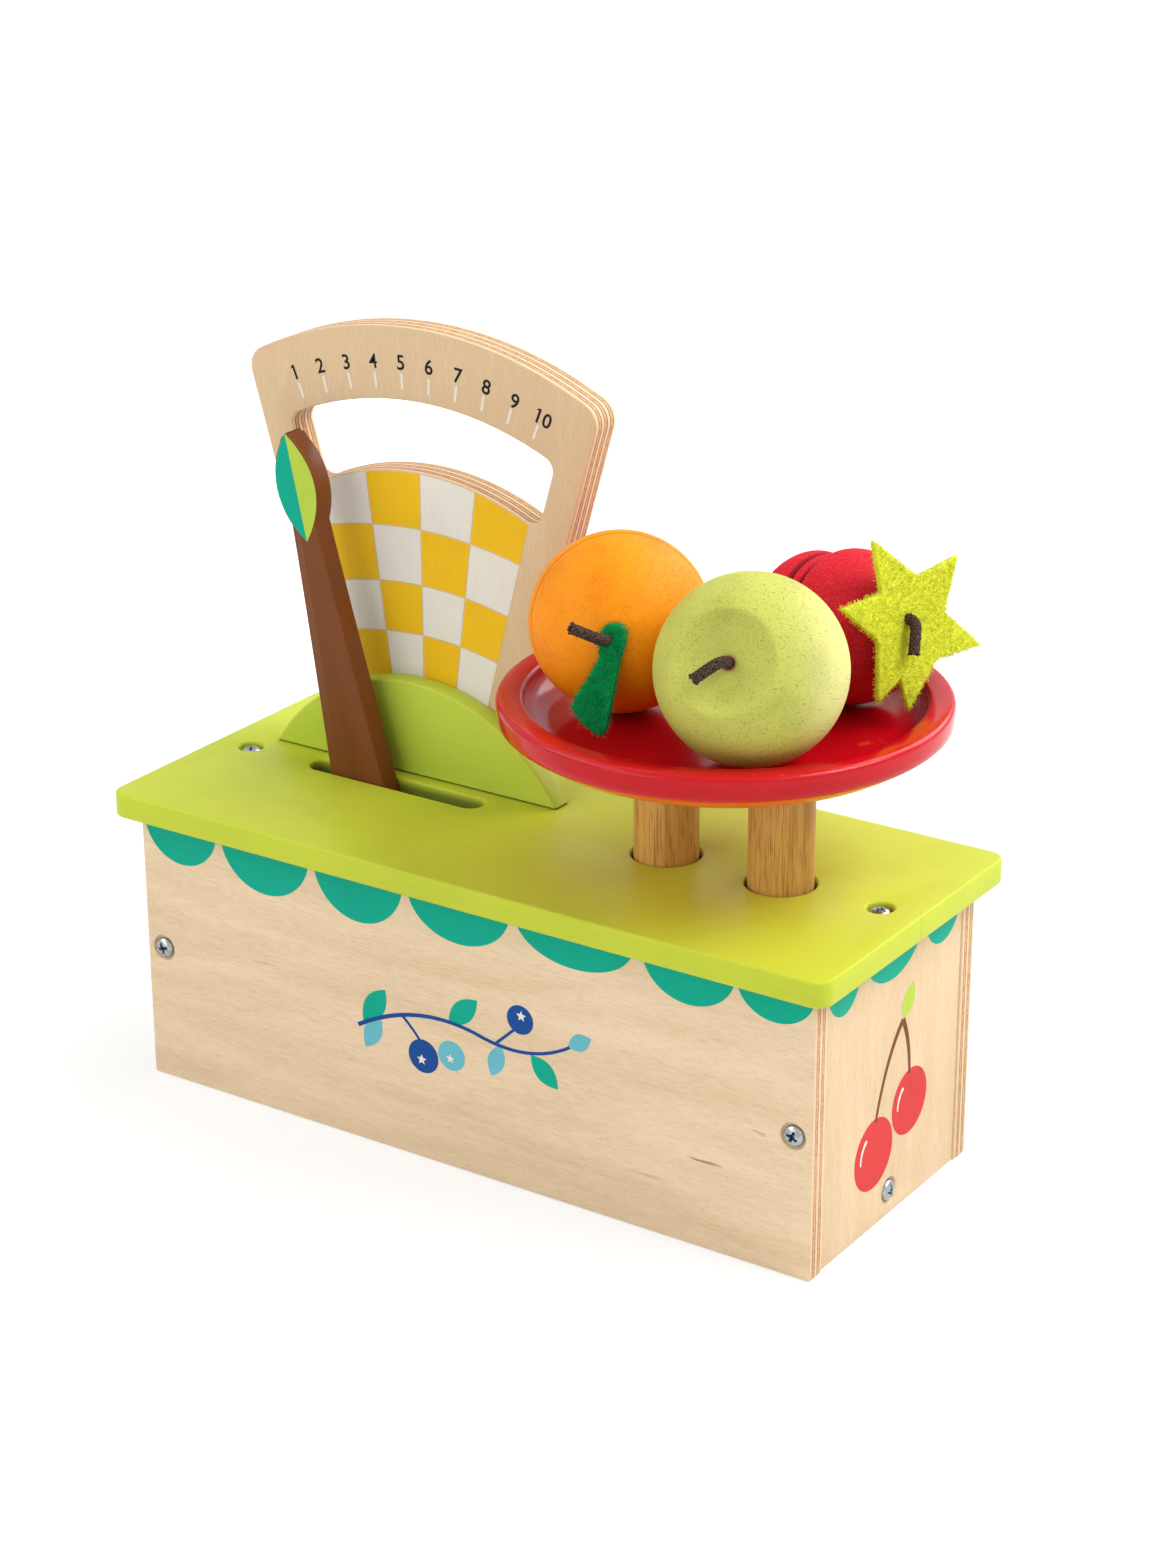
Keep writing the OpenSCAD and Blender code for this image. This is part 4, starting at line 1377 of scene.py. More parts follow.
@dataclass
class Dial:
    """The dial with its ticks, numbers and checks."""

    frame: dict
    outer_r: float = 127.8 * MM
    tick_in: float = 109.4 * MM
    tick_out: float = 114.1 * MM
    number_r: float = 117.2 * MM
    number_h: float = 3.55 * MM
    cap_share: float = 0.58
    number_weight: float = 0.08 * MM
    number_drift: float = 0.0016
    number_sink: float = 0.2 * MM
    first_turn: float = -22.1
    last_turn: float = 21.2
    numbers: int = 10
    check_pole: float = 27.4 * MM
    check_turn: float = 7.25
    check_radii: tuple[float, ...] = (138.3 * MM, 121.4 * MM, 106.1 * MM, 90.4 * MM, 74.0 * MM)
    window_low_r: float = 85.6 * MM
    check_gap: float = 0.45 * MM
    edge: float = 0.5 * MM
    tick_w: float = 0.75 * MM
    late_from: int = 5
    slim_share: float = 0.35
    centre: float = field(init=False)
    plane: Matrix = field(init=False)

    def build(self) -> None:
        """Builds the dial; centre is the height of its middle, and plane its front."""
        low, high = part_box("dial_panel")
        self.centre = high.z - self.outer_r
        self.plane = Side.FRONT.plane(Vector(((low.x + high.x) / 2, low.y, 0)))
        wood = Plywood(
            "birch_dial", Axis.Z, Axis.Y, low.y, high.y, plies=7, figure=90.0, seed=1.9, warmth=0.82, streak=0.0,
            depth=0.55, glue=0.85)
        rounded("dial_board", self.frame, "dial_panel", self.edge, wood.make(), "box", "birch")
        self.ticks()
        self.digits()
        self.checks()

    def turn(self, index: int) -> float:
        """Angle of a number from upright, clockwise, in radians."""
        share = index / (self.numbers - 1)
        return math.radians(self.first_turn + (self.last_turn - self.first_turn) * share)

    def ticks(self) -> None:
        """Prints the white ticks."""
        sizes = {"Count": self.numbers, "First": math.radians(self.first_turn), "Last": math.radians(self.last_turn),
                 "Inner": self.tick_in, "Outer": self.tick_out, "Width": self.tick_w, "Film": FILM * 1.5}
        tree = Growth("tick_row", sizes)
        count, first, last, inner, outer, width, height = (tree.size(label) for label in sizes)
        row = tree.output("GeometryNodePoints", inputs={"Count": count})
        share = Value(tree, tree.output("GeometryNodeInputIndex")) / (count - 1)
        turn = first + (last - first) * share
        radius = (inner + outer) * 0.5 + tree.chance(-0.25 * MM, 0.25 * MM, 3)
        spot = tree.vector(turn.maths("SINE") * radius, turn.maths("COSINE") * radius, 0.0)
        placed = tree.output("GeometryNodeSetPosition", inputs={0: row, "Position": spot})
        bar = tree.output("GeometryNodeMeshCube", inputs={"Size": tree.vector(width, outer - inner, height)})
        tilt = (turn + tree.chance(-0.03, 0.03, 5)) * -1
        bars = tree.copies(placed, bar, turn=tree.vector(z=tilt))
        tree.close(bars, Ink("tick_ink", Hue.WHITE, wear=0.1).make())
        piece = tree.grow("dial_ticks", points_host("dial_ticks", []))
        piece.data.transform(self.plane @ Matrix.Translation((0, self.centre, 0)))
        dress(piece, tree.material, "box", "birch")

    def digits(self) -> None:
        """Prints the numbers 1 to 10."""
        shape = bmesh.new()
        for i in range(self.numbers):
            text = bpy.data.curves.new(f"number_{i + 1}", "FONT")
            text.body = str(i + 1)
            text.size = self.number_h / self.cap_share
            text.align_x = text.align_y = "CENTER"
            text.extrude = FILM
            text.resolution_u = 6
            text.offset = self.number_weight * (self.slim_share if text.body == "4" else 1.0)
            letters = bpy.data.objects.new(text.name, text)
            mesh = bpy.data.meshes.new_from_object(letters)
            if text.body.startswith("1"):
                self.flag(mesh)
            late = max(0, i - self.late_from)
            turn = self.turn(i) + late * self.number_drift
            spot = Vector((math.sin(turn), math.cos(turn), 0)) * (self.number_r - late * self.number_sink)
            seat = Matrix.Translation(spot + Vector((0, self.centre, 0)))
            mesh.transform(self.plane @ seat @ Matrix.Rotation(-turn, 4, "Z"))
            shape.from_mesh(mesh)
            bpy.data.meshes.remove(mesh)
            bpy.data.objects.remove(letters)
            bpy.data.curves.remove(text)
        bmesh.ops.remove_doubles(shape, verts=shape.verts, dist=0.001 * MM)
        bmesh.ops.recalc_face_normals(shape, faces=shape.faces)
        dress(from_bmesh("dial_numbers", shape), Ink("number_ink", Hue.BLACK, wear=0.1).make(), "box", "birch")

    def flag(self, mesh: bpy.types.Mesh) -> None:
        """Adds the slanting stroke at the top of a one, the leftmost figure of its number.

        Args:
            mesh: The number's mesh, which the stroke is added to.
        """
        left = min(v.co.x for v in mesh.vertices)
        top = max(v.co.y for v in mesh.vertices)
        stroke = ribbon([(left + 0.3 * MM, top - 0.1 * MM), (left - 0.55 * MM, top - 0.8 * MM)], 0.5 * MM, 0.4 * MM)
        piece = prints("flag", [stroke], Matrix(), FILM * 0.9)
        both = bmesh.new()
        both.from_mesh(mesh)
        both.from_mesh(piece.data)
        both.to_mesh(mesh)
        both.free()
        bpy.data.objects.remove(piece)

    def checks(self) -> None:
        """Prints the fan of checks between the window and the hill."""
        pole = Vector((0.0, self.check_pole))
        window = Vector((0.0, self.centre))
        groups = {Hue.WHITE: [], Hue.YELLOW: []}
        for row, inner in enumerate(self.check_radii):
            outer = self.check_radii[row - 1] if row else None
            for column in range(4):
                start = (column - 2) * self.check_turn
                hue = Hue.WHITE if (row + column) % 2 == 0 else Hue.YELLOW
                groups[hue].append(self.cell(pole, window, start, inner, outer))
        for hue, outlines in groups.items():
            film(f"{hue.name.lower()}_checks", "box", "birch", outlines, self.plane, hue, Axis.Z)

    def cell(self, pole: Vector, window: Vector, start: float, inner: float, outer: float | None) -> list[Point]:
        """Outline of one check.

        Args:
            pole: Where the check's sides meet.
            window: The middle of the window's lower arc, which ends the top row.
            start: The angle of its left side from upright, in degrees.
            inner: Radius of its lower side about the pole.
            outer: Radius of its upper side about the pole, or None in the top row.

        Returns:
            The outline.
        """
        steps = 6
        gap = self.check_gap / 2
        lower, upper = [], []
        for i in range(steps + 1):
            share = i / steps
            side = gap if i == 0 else -gap if i == steps else 0.0
            turn = math.radians(start + self.check_turn * share)
            way = Vector((math.sin(turn), math.cos(turn)))
            across = Vector((way.y, -way.x)) * side
            if outer is None:
                lift = pole - window
                ahead = lift.dot(way)
                reach = -ahead + math.sqrt(ahead ** 2 - lift.length_squared + (self.window_low_r - gap * 2) ** 2)
            else:
                reach = outer - gap
            lower.append(pole + way * (inner + gap) + across)
            upper.append(pole + way * reach + across)
        return [(p.x, p.y) for p in lower + upper[::-1]]


# ---- the pointer


@dataclass
class Pointer:
    """The wooden pointer and the leaf painted on its head."""

    frame: dict
    lean: float = 12.3
    leaf_centre: float = 144.75 * MM
    leaf_l: float = 32.1 * MM
    leaf_w: float = 14.1 * MM
    edge: float = 0.45 * MM

    def build(self) -> None:
        """Builds the pointer."""
        paint = Paint("brown_paint", Hue.BARK, Axis.Z, 0.34).make()
        rounded("painted_pointer", self.frame, "pointer", self.edge, paint, "pointer", "brown_paint")
        pivot = middle_of("pointer_axle")
        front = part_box("pointer")[0].y
        plane = Side.FRONT.plane(Vector((pivot.x, front, pivot.z))) @ Matrix.Rotation(math.radians(self.lean), 4, "Z")
        low, high = self.leaf_centre - self.leaf_l / 2, self.leaf_centre + self.leaf_l / 2
        halves = {"teal_leaf_half": (Hue.TEAL, (0.0, 1.0)), "lime_leaf_half": (Hue.LEAF_LIME, (-1.0, 0.0))}
        for name, (hue, share) in halves.items():
            outline = lens((0.0, low), (0.0, high), self.leaf_w, share)
            film(name, "pointer", "brown_paint", [outline], plane, hue, Axis.Z)


# ---- metal


@dataclass
class Screws:
    """Cross-head screws, one head and shank copied to every seat."""

    head_r: float = 3.1 * MM
    head_h: float = 2.0 * MM
    shank_r: float = 1.5 * MM
    length: float = 18.0 * MM
    recess_r: float = 1.9 * MM
    recess_w: float = 0.42 * MM
    recess_d: float = 1.3 * MM
    core_r: float = 0.9 * MM
    pitch: float = 1.2 * MM
    neck_share: float = 0.12
    thread_share: float = 0.75
    root_share: float = 0.72

    def build(self) -> None:
        """Builds the screws of the box and those of the posts."""
        tree = self.tree(self.template())
        groups = {"front_panel_screws": (0, -1, 0), "back_panel_screws": (0, 1, 0), "top_board_screws": (0, 0, 1),
                  "dial_screws": (0, 0, -1), "hill_screws": (0, 0, -1)}
        seats = [seat for node, way in groups.items() for seat in self.pair(node, Vector(way))]
        low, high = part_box("end_panel_screws")
        for side, reach in ((-1, low.x), (1, high.x)):
            seats.append((Vector((reach - side * self.head_h, 0, (low.z + high.z) / 2)), Vector((side, 0, 0))))
        self.place(tree, "box_screws", "box", seats, [*groups, "end_panel_screws"])
        feet = self.pair("post_screws", Vector((0, 0, -1)))
        self.place(tree, "post_foot_screws", "carriage", feet, ["post_screws"])

    def pair(self, node: str, way: Vector) -> list[tuple[Vector, Vector]]:
        """Seats of the two screws of a node, which stand apart along X.

        Args:
            node: The CAD node of the screws.
            way: The way that their heads face.

        Returns:
            Where each head sits and the way that it faces.
        """
        low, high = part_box(node)
        reach = high if sum(way) > 0 else low
        axis = max(range(3), key=lambda i: abs(way[i]))
        seats = []
        for x in (low.x + self.head_r, high.x - self.head_r):
            spot = middle_of(node)
            spot.x = x
            spot[axis] = reach[axis] - way[axis] * self.head_h
            seats.append((spot, way))
        return seats

    def template(self) -> Piece:
        """One screw with its seat at the origin and its head up +Z.

        Returns:
            The screw, which the tree copies.
        """
        turns, steps = 64, 12
        shape = bmesh.new()
        rings = [level_ring(shape, self.head_r * i / steps, 0.0, turns) for i in range(steps + 1)]
        for vert in shape.verts:
            vert.co.z = self.top(vert.co.x, vert.co.y)
        profile = [(self.head_r, 0.0), (self.shank_r, 0.0)]
        for i in range(int((self.length * self.thread_share) / (self.pitch / 2))):
            radius = self.shank_r * (1.0 if i % 2 else self.root_share)
            profile.append((radius, -self.length * self.neck_share - i * self.pitch / 2))
        rings += [level_ring(shape, radius, height, turns) for radius, height in profile + [(0.0, -self.length)]]
        skin(shape, zip(rings[1:], rings))
        bmesh.ops.recalc_face_normals(shape, faces=shape.faces)
        # The cut depth also sets the painted shade of the recess in the zinc.
        cut = shape.verts.layers.float.new("cut")
        for vert in shape.verts:
            vert[cut] = self.recess(vert.co.x, vert.co.y) if vert.co.z > -self.recess_d else 0.0
        return from_bmesh("screw_template", shape)

    def recess(self, x: float, y: float) -> float:
        """How deep the cross recess is at a point of the head.

        Args:
            x: The point's distance from the screw's axis along one arm.
            y: Its distance along the other arm.

        Returns:
            The depth, from 0 to 1.
        """
        reach = math.hypot(x, y)
        arms = min(abs(x), abs(y))
        width = self.recess_w * (1 - 0.35 * reach / self.recess_r)
        inside = unit((width - arms) / (0.25 * self.recess_w) + 0.5)
        fade = unit((self.recess_r - reach) / (0.3 * self.recess_r))
        core = unit((self.core_r - reach) / (0.5 * MM))
        return max(inside * fade, core * 0.9)

    def top(self, x: float, y: float) -> float:
        """Height of the head over its seat at a point, with the cross recess cut into it."""
        share = math.hypot(x, y) / self.head_r
        return self.head_h * (1 - 0.6 * share ** 4) - self.recess_d * self.recess(x, y)

    def tree(self, template: Piece) -> Growth:
        """Tree that copies a screw to each point of its host, facing the way that the point holds.

        Args:
            template: The screw.

        Returns:
            The tree.
        """
        tree = Growth("screw_row", {"Head scale": 1.0})
        shape = tree.node("GeometryNodeObjectInfo", {"transform_space": "ORIGINAL"}, {"Object": template})
        facing = tree.output("FunctionNodeAlignRotationToVector", {"axis": "Z"}, {
            "Vector": tree.attribute("facing", "FLOAT_VECTOR")})
        spin = tree.output("FunctionNodeAxisAngleToRotation", inputs={
            "Axis": (0, 0, 1), "Angle": tree.attribute("spin")})
        turned = tree.output("FunctionNodeRotateRotation", {"rotation_space": "LOCAL"}, {0: facing, 1: spin})
        size = tree.size("Head scale")
        scale = tree.vector(size, size, size)
        copies = tree.copies(tree.host_points(), shape.outputs["Geometry"], scale, turned)
        tree.close(copies, Zinc("zinc_screws", 0.2, cut=True).make())
        return tree

    def place(
        self, tree: Growth, name: str, body: str, seats: Sequence[tuple[Vector, Vector]], nodes: Sequence[str]
    ) -> None:
        """Copies the screw to a body's seats, each turned another way.

        Args:
            tree: The tree that copies the screw.
            name: The piece's name.
            body: The body that the screws ride on.
            seats: Where each head sits and the way that it faces.
            nodes: The CAD nodes that they stand for.
        """
        spin = [math.radians(20 + 137.5 * i) for i in range(len(seats))]
        host = points_host(name, [spot for spot, _ in seats], facing=[way for _, way in seats], spin=spin)
        piece = tree.grow(name, host)
        piece.data.set_sharp_from_angle(angle=math.radians(40))
        dress(piece, tree.material, body, "zinc_steel", nodes)


@dataclass
class Springs:
    """The two coil springs, built at the length of their CAD nodes; the real ones shorten as the tray goes down."""

    wire_r: float = 0.6 * MM
    turns: float = 7.0
    travel: float = 13.0 * MM

    def build(self) -> None:
        """Builds both springs."""
        sizes = {"Turns": self.turns, "Radius": 6.9 * MM, "Height": 26.0 * MM, "Wire": self.wire_r}
        tree = Growth("coil_spring", sizes)
        turns, radius, height, wire = (tree.size(label) for label in sizes)
        coil = tree.output("GeometryNodeCurveSpiral", inputs={
            "Resolution": 40, "Rotations": turns, "Start Radius": radius, "End Radius": radius, "Height": height})
        tree.close(tree.sweep(coil, 10, wire), Zinc("spring_steel", 0.2).make())
        for node in ("left_spring", "right_spring"):
            low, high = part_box(node)
            middle = middle_of(node)
            radius, height = high.x - middle.x - self.wire_r, high.z - low.z - 2 * self.wire_r
            piece = tree.grow(f"{node}_coil", points_host(node, []), Radius=radius, Height=height)
            piece.data.transform(Matrix.Translation((middle.x, middle.y, low.z + self.wire_r)))
            dress(piece, tree.material, "box", "zinc_steel", [node])
            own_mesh(piece)


# ---- the carriage


@dataclass
class Carriage:
    """The tray on its posts, and what slides with them inside the box."""

    frame: dict
    tray_r: float = 62.2 * MM
    tray_h: float = 12.0 * MM
    rim_w: float = 7.4 * MM
    floor_t: float = 4.5 * MM
    rim_round: float = 1.6 * MM
    dowel_edge: float = 0.4 * MM
    bar_edge: float = 0.5 * MM

    def build(self) -> None:
        """Builds the carriage."""
        middle, foot = middle_of("tray"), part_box("tray")[0].z
        plate = lathe("lacquered_tray", self.profile(), Matrix.Translation((middle.x, middle.y, foot)), 144)
        # Its second colour shows wear on the rim and a painted reflection of the lid on the underside edge.
        red = Lacquer("red_lacquer", Hue.RED, Hue.RED_WORN, foot, foot + self.tray_h * 0.7)
        dress(plate, red.make(), "carriage", "red_lacquer", ["tray"])
        dowel = DowelWood("lacquered_dowel").make()
        for node in ("left_post", "right_post", "left_stop_ring", "right_stop_ring"):
            rounded(f"{node}_dowel", self.frame, node, self.dowel_edge, dowel, "carriage", "stained_dowel")
        low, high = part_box("cross_bar")
        birch = Plywood("birch_bar", Axis.X, Axis.Z, low.z, high.z, plies=9, seed=3.1).make()
        rounded("cross_bar_board", self.frame, "cross_bar", self.bar_edge, birch, "carriage", "birch")
        steel = Zinc("peg_steel").make()
        for node in ("drive_peg", "pointer_axle"):
            self.coat(node, steel)
        for node in ("front_axle_spacer", "rear_axle_spacer"):
            self.coat(node, DowelWood(f"{node}_wood", Axis.Y).make())

    def coat(self, node: str, material: Material) -> None:
        """Gives a CAD node a better material.

        Args:
            node: The node, whose solid stays.
            material: The material.
        """
        data = self.frame["nodes"][node].data
        data.materials.clear()
        data.materials.append(material)
        LOG.info("%s keeps its solid", node)

    def profile(self) -> list[Point]:
        """The tray's section, from the middle of its underside out, up and back in.

        Returns:
            Points of radius and height.
        """
        under, shoulder = self.tray_r * 0.862, self.tray_r * 0.978
        shoulder_h = self.tray_h * 0.38
        rim_in = self.tray_r - self.rim_w
        floor_r = rim_in - (self.tray_h - self.floor_t) * 1.15
        wall_h = self.tray_h - self.floor_t - self.rim_round * 0.45
        wall_w = rim_in - floor_r
        outer = [(0.0, 0.0), (under * 0.5, 0.0), (under - 1.2 * MM, 0.0), (under, 0.25 * MM)]
        outer += [(under + (shoulder - under) * s, shoulder_h * s) for s in (0.3, 0.6, 0.88)]
        outer += [(shoulder, shoulder_h * 1.03), (shoulder + (self.tray_r - shoulder) * 0.7, shoulder_h * 1.25)]
        outer += [(self.tray_r - 0.15 * MM, self.tray_h * 0.62)]
        centre = (self.tray_r - self.rim_round, self.tray_h - self.rim_round)
        outer += arc(centre, self.rim_round, 0, 90, 8)
        ease = self.rim_round * 0.55
        inner = [(rim_in + ease, self.tray_h - 0.02 * MM)]
        for i in range(12, -1, -1):
            turn = math.radians(90 * i / 12)
            inner.append((floor_r + wall_w * math.sin(turn), self.floor_t + wall_h * (1 - math.cos(turn))))
        inner += [(floor_r * 0.9, self.floor_t), (floor_r * 0.5, self.floor_t), (0.0, self.floor_t)]
        return outer + inner


# ---- the fruits


@dataclass
class Braid:
    """Short stubs of braided cord, which stand for the fruits' stems."""

    cord_r: float = 1.5 * MM
    strands: int = 16
    bend_r: float = 3.0 * MM
    lay: float = 11.0 * MM
    tree: Growth = field(init=False)

    def prepare(self) -> None:
        """Builds the tree that winds strands round a path."""
        sizes = {"Pairs": self.strands // 2, "Turns": 3.0, "Radius": self.cord_r * 0.76, "Yarn": self.cord_r * 0.23,
                 "Weave": self.cord_r * 0.1, "Fray": 0.03, "Steps": 100}
        tree = Growth("braided_cord", sizes)
        pairs, turns, radius, yarn, depth, fray, steps = (tree.size(label) for label in sizes)
        line = tree.output("GeometryNodeCurvePrimitiveLine")
        line = tree.output("GeometryNodeResampleCurve", inputs={0: line, "Count": steps})
        copies = tree.node("GeometryNodeDuplicateElements", {"domain": "SPLINE"}, {0: line, "Amount": pairs * 2})
        index = Value(tree, copies.outputs["Duplicate Index"])
        share = Value(tree, tree.output("GeometryNodeSplineParameter"))
        odd = index.maths("MODULO", 2.0)
        way = 1 - odd * 2
        phase = (index * 0.5).maths("FLOOR") * (2 * math.pi) / pairs
        wind = share * turns * (2 * math.pi)
        angle = wind * way + phase
        weave = (wind * pairs).maths("COSINE") * way * depth
        reach = (radius + weave) * (share.ramp(0.95, 1.0) * 0.18 + 1)
        cut = 1 - (index * 2.4).maths("SINE").maths("ABSOLUTE") * fray
        sample = tree.node("GeometryNodeSampleCurve", {"mode": "FACTOR", "use_all_curves": True}, {
            "Curves": tree.start, "Factor": share * cut})
        position, tangent, normal = (sample.outputs[n] for n in ("Position", "Tangent", "Normal"))
        side = tree.vectors("CROSS_PRODUCT", tangent, normal)
        out = tree.vectors("ADD", tree.vectors("SCALE", normal, angle.maths("COSINE") * reach),
                           tree.vectors("SCALE", side, angle.maths("SINE") * reach))
        spot = tree.vectors("ADD", position, out)
        wound = tree.output("GeometryNodeSetPosition", inputs={0: copies.outputs["Geometry"], "Position": spot})
        tree.close(tree.sweep(wound, 6, yarn), CordYarn("cord_yarn").make())
        self.tree = tree

    def stem(
        self, body: str, place: Matrix, lead: float, bend: float, turn: float, seated: float, tail: float
    ) -> None:
        """Winds one stem.

        Args:
            body: The fruit's body.
            place: The fruit's own place.
            lead: Distance along the fruit's axis at which the stem starts to bend.
            bend: How far it bends, in degrees.
            turn: The direction that it bends to, in degrees about the axis.
            seated: Distance along the axis at which it starts.
            tail: Straight length after the bend.
        """
        name, bow = f"{body}_cord", math.radians(bend)
        route = [(0.0, 0.0, seated), (0.0, 0.0, (seated + lead) / 2), (0.0, 0.0, lead)]
        for i in range(1, 9):
            a = bow * i / 8
            route.append((self.bend_r * (1 - math.cos(a)), 0.0, lead + self.bend_r * math.sin(a)))
        x, _, z = route[-1]
        route += [(x + tail * s * math.sin(bow), 0.0, z + tail * s * math.cos(bow)) for s in (0.5, 1.0)]
        curve_data = bpy.data.curves.new(name, "CURVE")
        curve_data.dimensions = "3D"
        spline = curve_data.splines.new("POLY")
        spline.points.add(len(route) - 1)
        twist = place @ Matrix.Rotation(math.radians(turn), 4, "Z")
        for point, spot in zip(spline.points, route):
            point.co = (*(twist @ Vector(spot)), 1.0)
        host = new_object(name, curve_data)
        length = lead - seated + self.bend_r * bow + tail
        piece = self.tree.grow(name, host, Turns=length / self.lay)
        dress(piece, self.tree.material, body, "dark_cord", [f"{body}_stem"])


def axis_place(centre: Vector, heading: float, rise: float) -> Matrix:
    """Place of a fruit, whose Z axis runs through its stem and whose X axis hangs down.

    Args:
        centre: The fruit's centre.
        heading: The way that its Z axis points, in degrees about the frame's Z axis.
        rise: How far its Z axis is over the level, in degrees.

    Returns:
        The matrix from the fruit's own frame to the model's.
    """
    turn = Euler((0.0, math.radians(90 - rise), math.radians(heading)))
    return Matrix.Translation(centre) @ turn.to_matrix().to_4x4()


def smooth_low(first: float, second: float, soft: float) -> float:
    """The smaller of two numbers, with a soft corner between them.

    Args:
        first: One number.
        second: The other.
        soft: How near they are where the corner starts.

    Returns:
        The smaller number, or a little less inside the corner.
    """
    share = unit(0.5 + 0.5 * (second - first) / soft)
    return second + (first - second) * share - soft * share * (1 - share)


@dataclass
class Orange:
    """The orange: a turned ball with a seam, a braided stem and a felt leaf."""

    braid: Braid
    radius: float = 24.9 * MM
    heading: float = -65.0
    rise: float = 9.0
    seam_turn: Point = (-54.0, 14.6)
    seam: float = 0.2
    seam_d: float = 0.6 * MM
    seam_w: float = 0.026
    leaf_l: float = 27.0 * MM
    hairs: tuple[float, int] = (5.0, 11)
    felt_gap: float = 1.1 * MM
    place: Matrix = field(init=False)

    def build(self) -> None:
        """Builds the orange."""
        self.place = axis_place(middle_of("orange_body"), self.heading, self.rise)
        across = axis_place(middle_of("orange_body"), *self.seam_turn)
        ball = lathe("orange_ball", self.profile(), across, 128)
        finish = TurnedFruit(
            "orange_stain", Hue.ORANGE, Hue.ORANGE_DEEP, self.place, dark_line_heights=(self.seam * self.radius,),
            seam_place=across, dark_line_width=0.8 * MM)
        dress(ball, finish.make(), "orange", "orange_lacquer", ["orange_body"])
        self.braid.stem(
            "orange", self.place, lead=self.radius + 2.9 * MM, bend=66, turn=-115, seated=self.radius - CORD_SEAT,
            tail=8.6 * MM)
        self.leaf()

    def profile(self) -> list[Point]:
        """The ball's section across its seam.

        Returns:
            Points of radius and height.
        """
        points = []
        steps = 240
        for i in range(steps + 1):
            turn = math.pi * i / steps
            radius, height = self.radius * math.sin(turn), -self.radius * math.cos(turn)
            dent = self.seam_d * math.exp(-(((height / self.radius - self.seam) / self.seam_w) ** 2))
            points.append((max(0.0, radius - dent) if 0 < i < steps else 0.0, height))
        return points

    def leaf(self) -> None:
        """Hangs the felt leaf from the stem."""
        left = [(-0.15, 0.03), (-0.11, -0.03), (0.0, -0.075), (0.19, -0.065), (0.38, -0.16), (0.57, -0.28),
                (0.69, -0.325), (0.83, -0.22), (0.94, -0.07)]
        right = [(-0.15, 0.13), (-0.1, 0.185), (0.02, 0.19), (0.2, 0.135), (0.4, 0.105), (0.57, 0.085),
                 (0.72, 0.06), (0.86, 0.035), (0.95, 0.0)]
        columns = 6
        shape = bmesh.new()
        grid = []
        for (ax, ay), (bx, by) in zip(left, right):
            row = []
            for j in range(columns + 1):
                s = j / columns
                x, y = ax + (bx - ax) * s, ay + (by - ay) * s
                lift = 0.1 * max(0.0, x) ** 2 + 0.25 * (s - 0.5) ** 2 * (bx - ax + by - ay) - 0.02
                row.append(shape.verts.new((x * self.leaf_l, y * self.leaf_l, lift * self.leaf_l)))
            grid.append(row)
        for low, high in zip(grid, grid[1:]):
            for j in range(columns):
                shape.faces.new([low[j], high[j], high[j + 1], low[j + 1]]).smooth = True
        shape.transform(self.place @ Matrix.Translation((0, 0, self.radius + self.felt_gap)))
        area = sum(f.calc_area() for f in shape.faces)
        piece, nap = felt_piece(shape, "leaf", "orange", Felt("green_felt", Hue.FELT_GREEN), self.hairs)


def felt_piece(
    shape: Shape, form: str, fruit: str, felt: Felt, hairs: tuple[float, int], thickness: float = FELT
) -> tuple[Piece, Piece]:
    """Gives a flat sheet the thickness, the soft edges and the loose hairs of felt.

    Args:
        shape: The sheet, in its place; it is used up.
        form: What it is, the end of its CAD node's name.
        fruit: The fruit's body, the start of the CAD node's name.
        felt: The finish, whose name is also its material's name.
        hairs: Hairs on each square millimetre, and the seed of their places.
        thickness: The felt's thickness.

    Returns:
        The felt and its hairs.
    """
    piece = from_bmesh(f"felt_{form}", shape)
    solid = piece.modifiers.new("thickness", "SOLIDIFY")
    solid.thickness = thickness
    solid.offset = 0.0
    solid.edge_crease_rim = 0.7
    solid.edge_crease_inner = solid.edge_crease_outer = 0.5
    soft = piece.modifiers.new("soft_edge", "SUBSURF")
    soft.levels = soft.render_levels = 2
    wool = felt.make()
    dress(piece, wool, fruit, felt.name, [f"{fruit}_{form}"])
    return piece, dress(felt_nap(f"{form}_nap", piece, wool, *hairs), wool, fruit, felt.name)


def felt_nap(name: str, felt: Piece, finish: Material, per_mm2: float, seed: int) -> Piece:
    """Grows the loose hairs that make felt look soft at its edges.

    Args:
        name: The new piece's name.
        felt: The finished felt, with its modifiers.
        finish: The material of the hairs.
        per_mm2: Hairs on each square millimetre.
        seed: Seed of the hairs' places and directions.

    Returns:
        The hairs as one piece.
    """
    sizes = {"Density": per_mm2 / (MM * MM), "Length": 1.15 * MM, "Thickness": 0.075 * MM, "Tangle": 1.5}
    tree = Growth(name, sizes)
    density, longest, thickness, tangle = (tree.size(label) for label in sizes)
    points = tree.node("GeometryNodeDistributePointsOnFaces", {"distribute_method": "RANDOM"}, {
        0: tree.start, "Density": density, "Seed": seed})
    stray = tree.vector(*(tree.chance(-1.0, 1.0, seed + i) * tangle for i in (1, 2, 3)))
    way = tree.vectors("ADD", points.outputs["Normal"], stray)
    turned = tree.output("FunctionNodeAlignRotationToVector", {"axis": "Z"}, {"Vector": way})
    bow = tree.output("GeometryNodeCurveQuadraticBezier", inputs={
        "Resolution": 2, "Start": (0, 0, 0), "Middle": (0.25, 0, 0.5), "End": (0.1, 0, 1.0)})
    hair = tree.sweep(bow, 3, thickness / longest, closed=False)
    length = longest * tree.chance(0.4, 1.0, seed + 4)
    hairs = tree.copies(points.outputs["Points"], hair, tree.vector(length, length, length), turned)
    tree.close(hairs, finish)
    return tree.grow(name, new_object(f"{name}_host", baked(felt)))


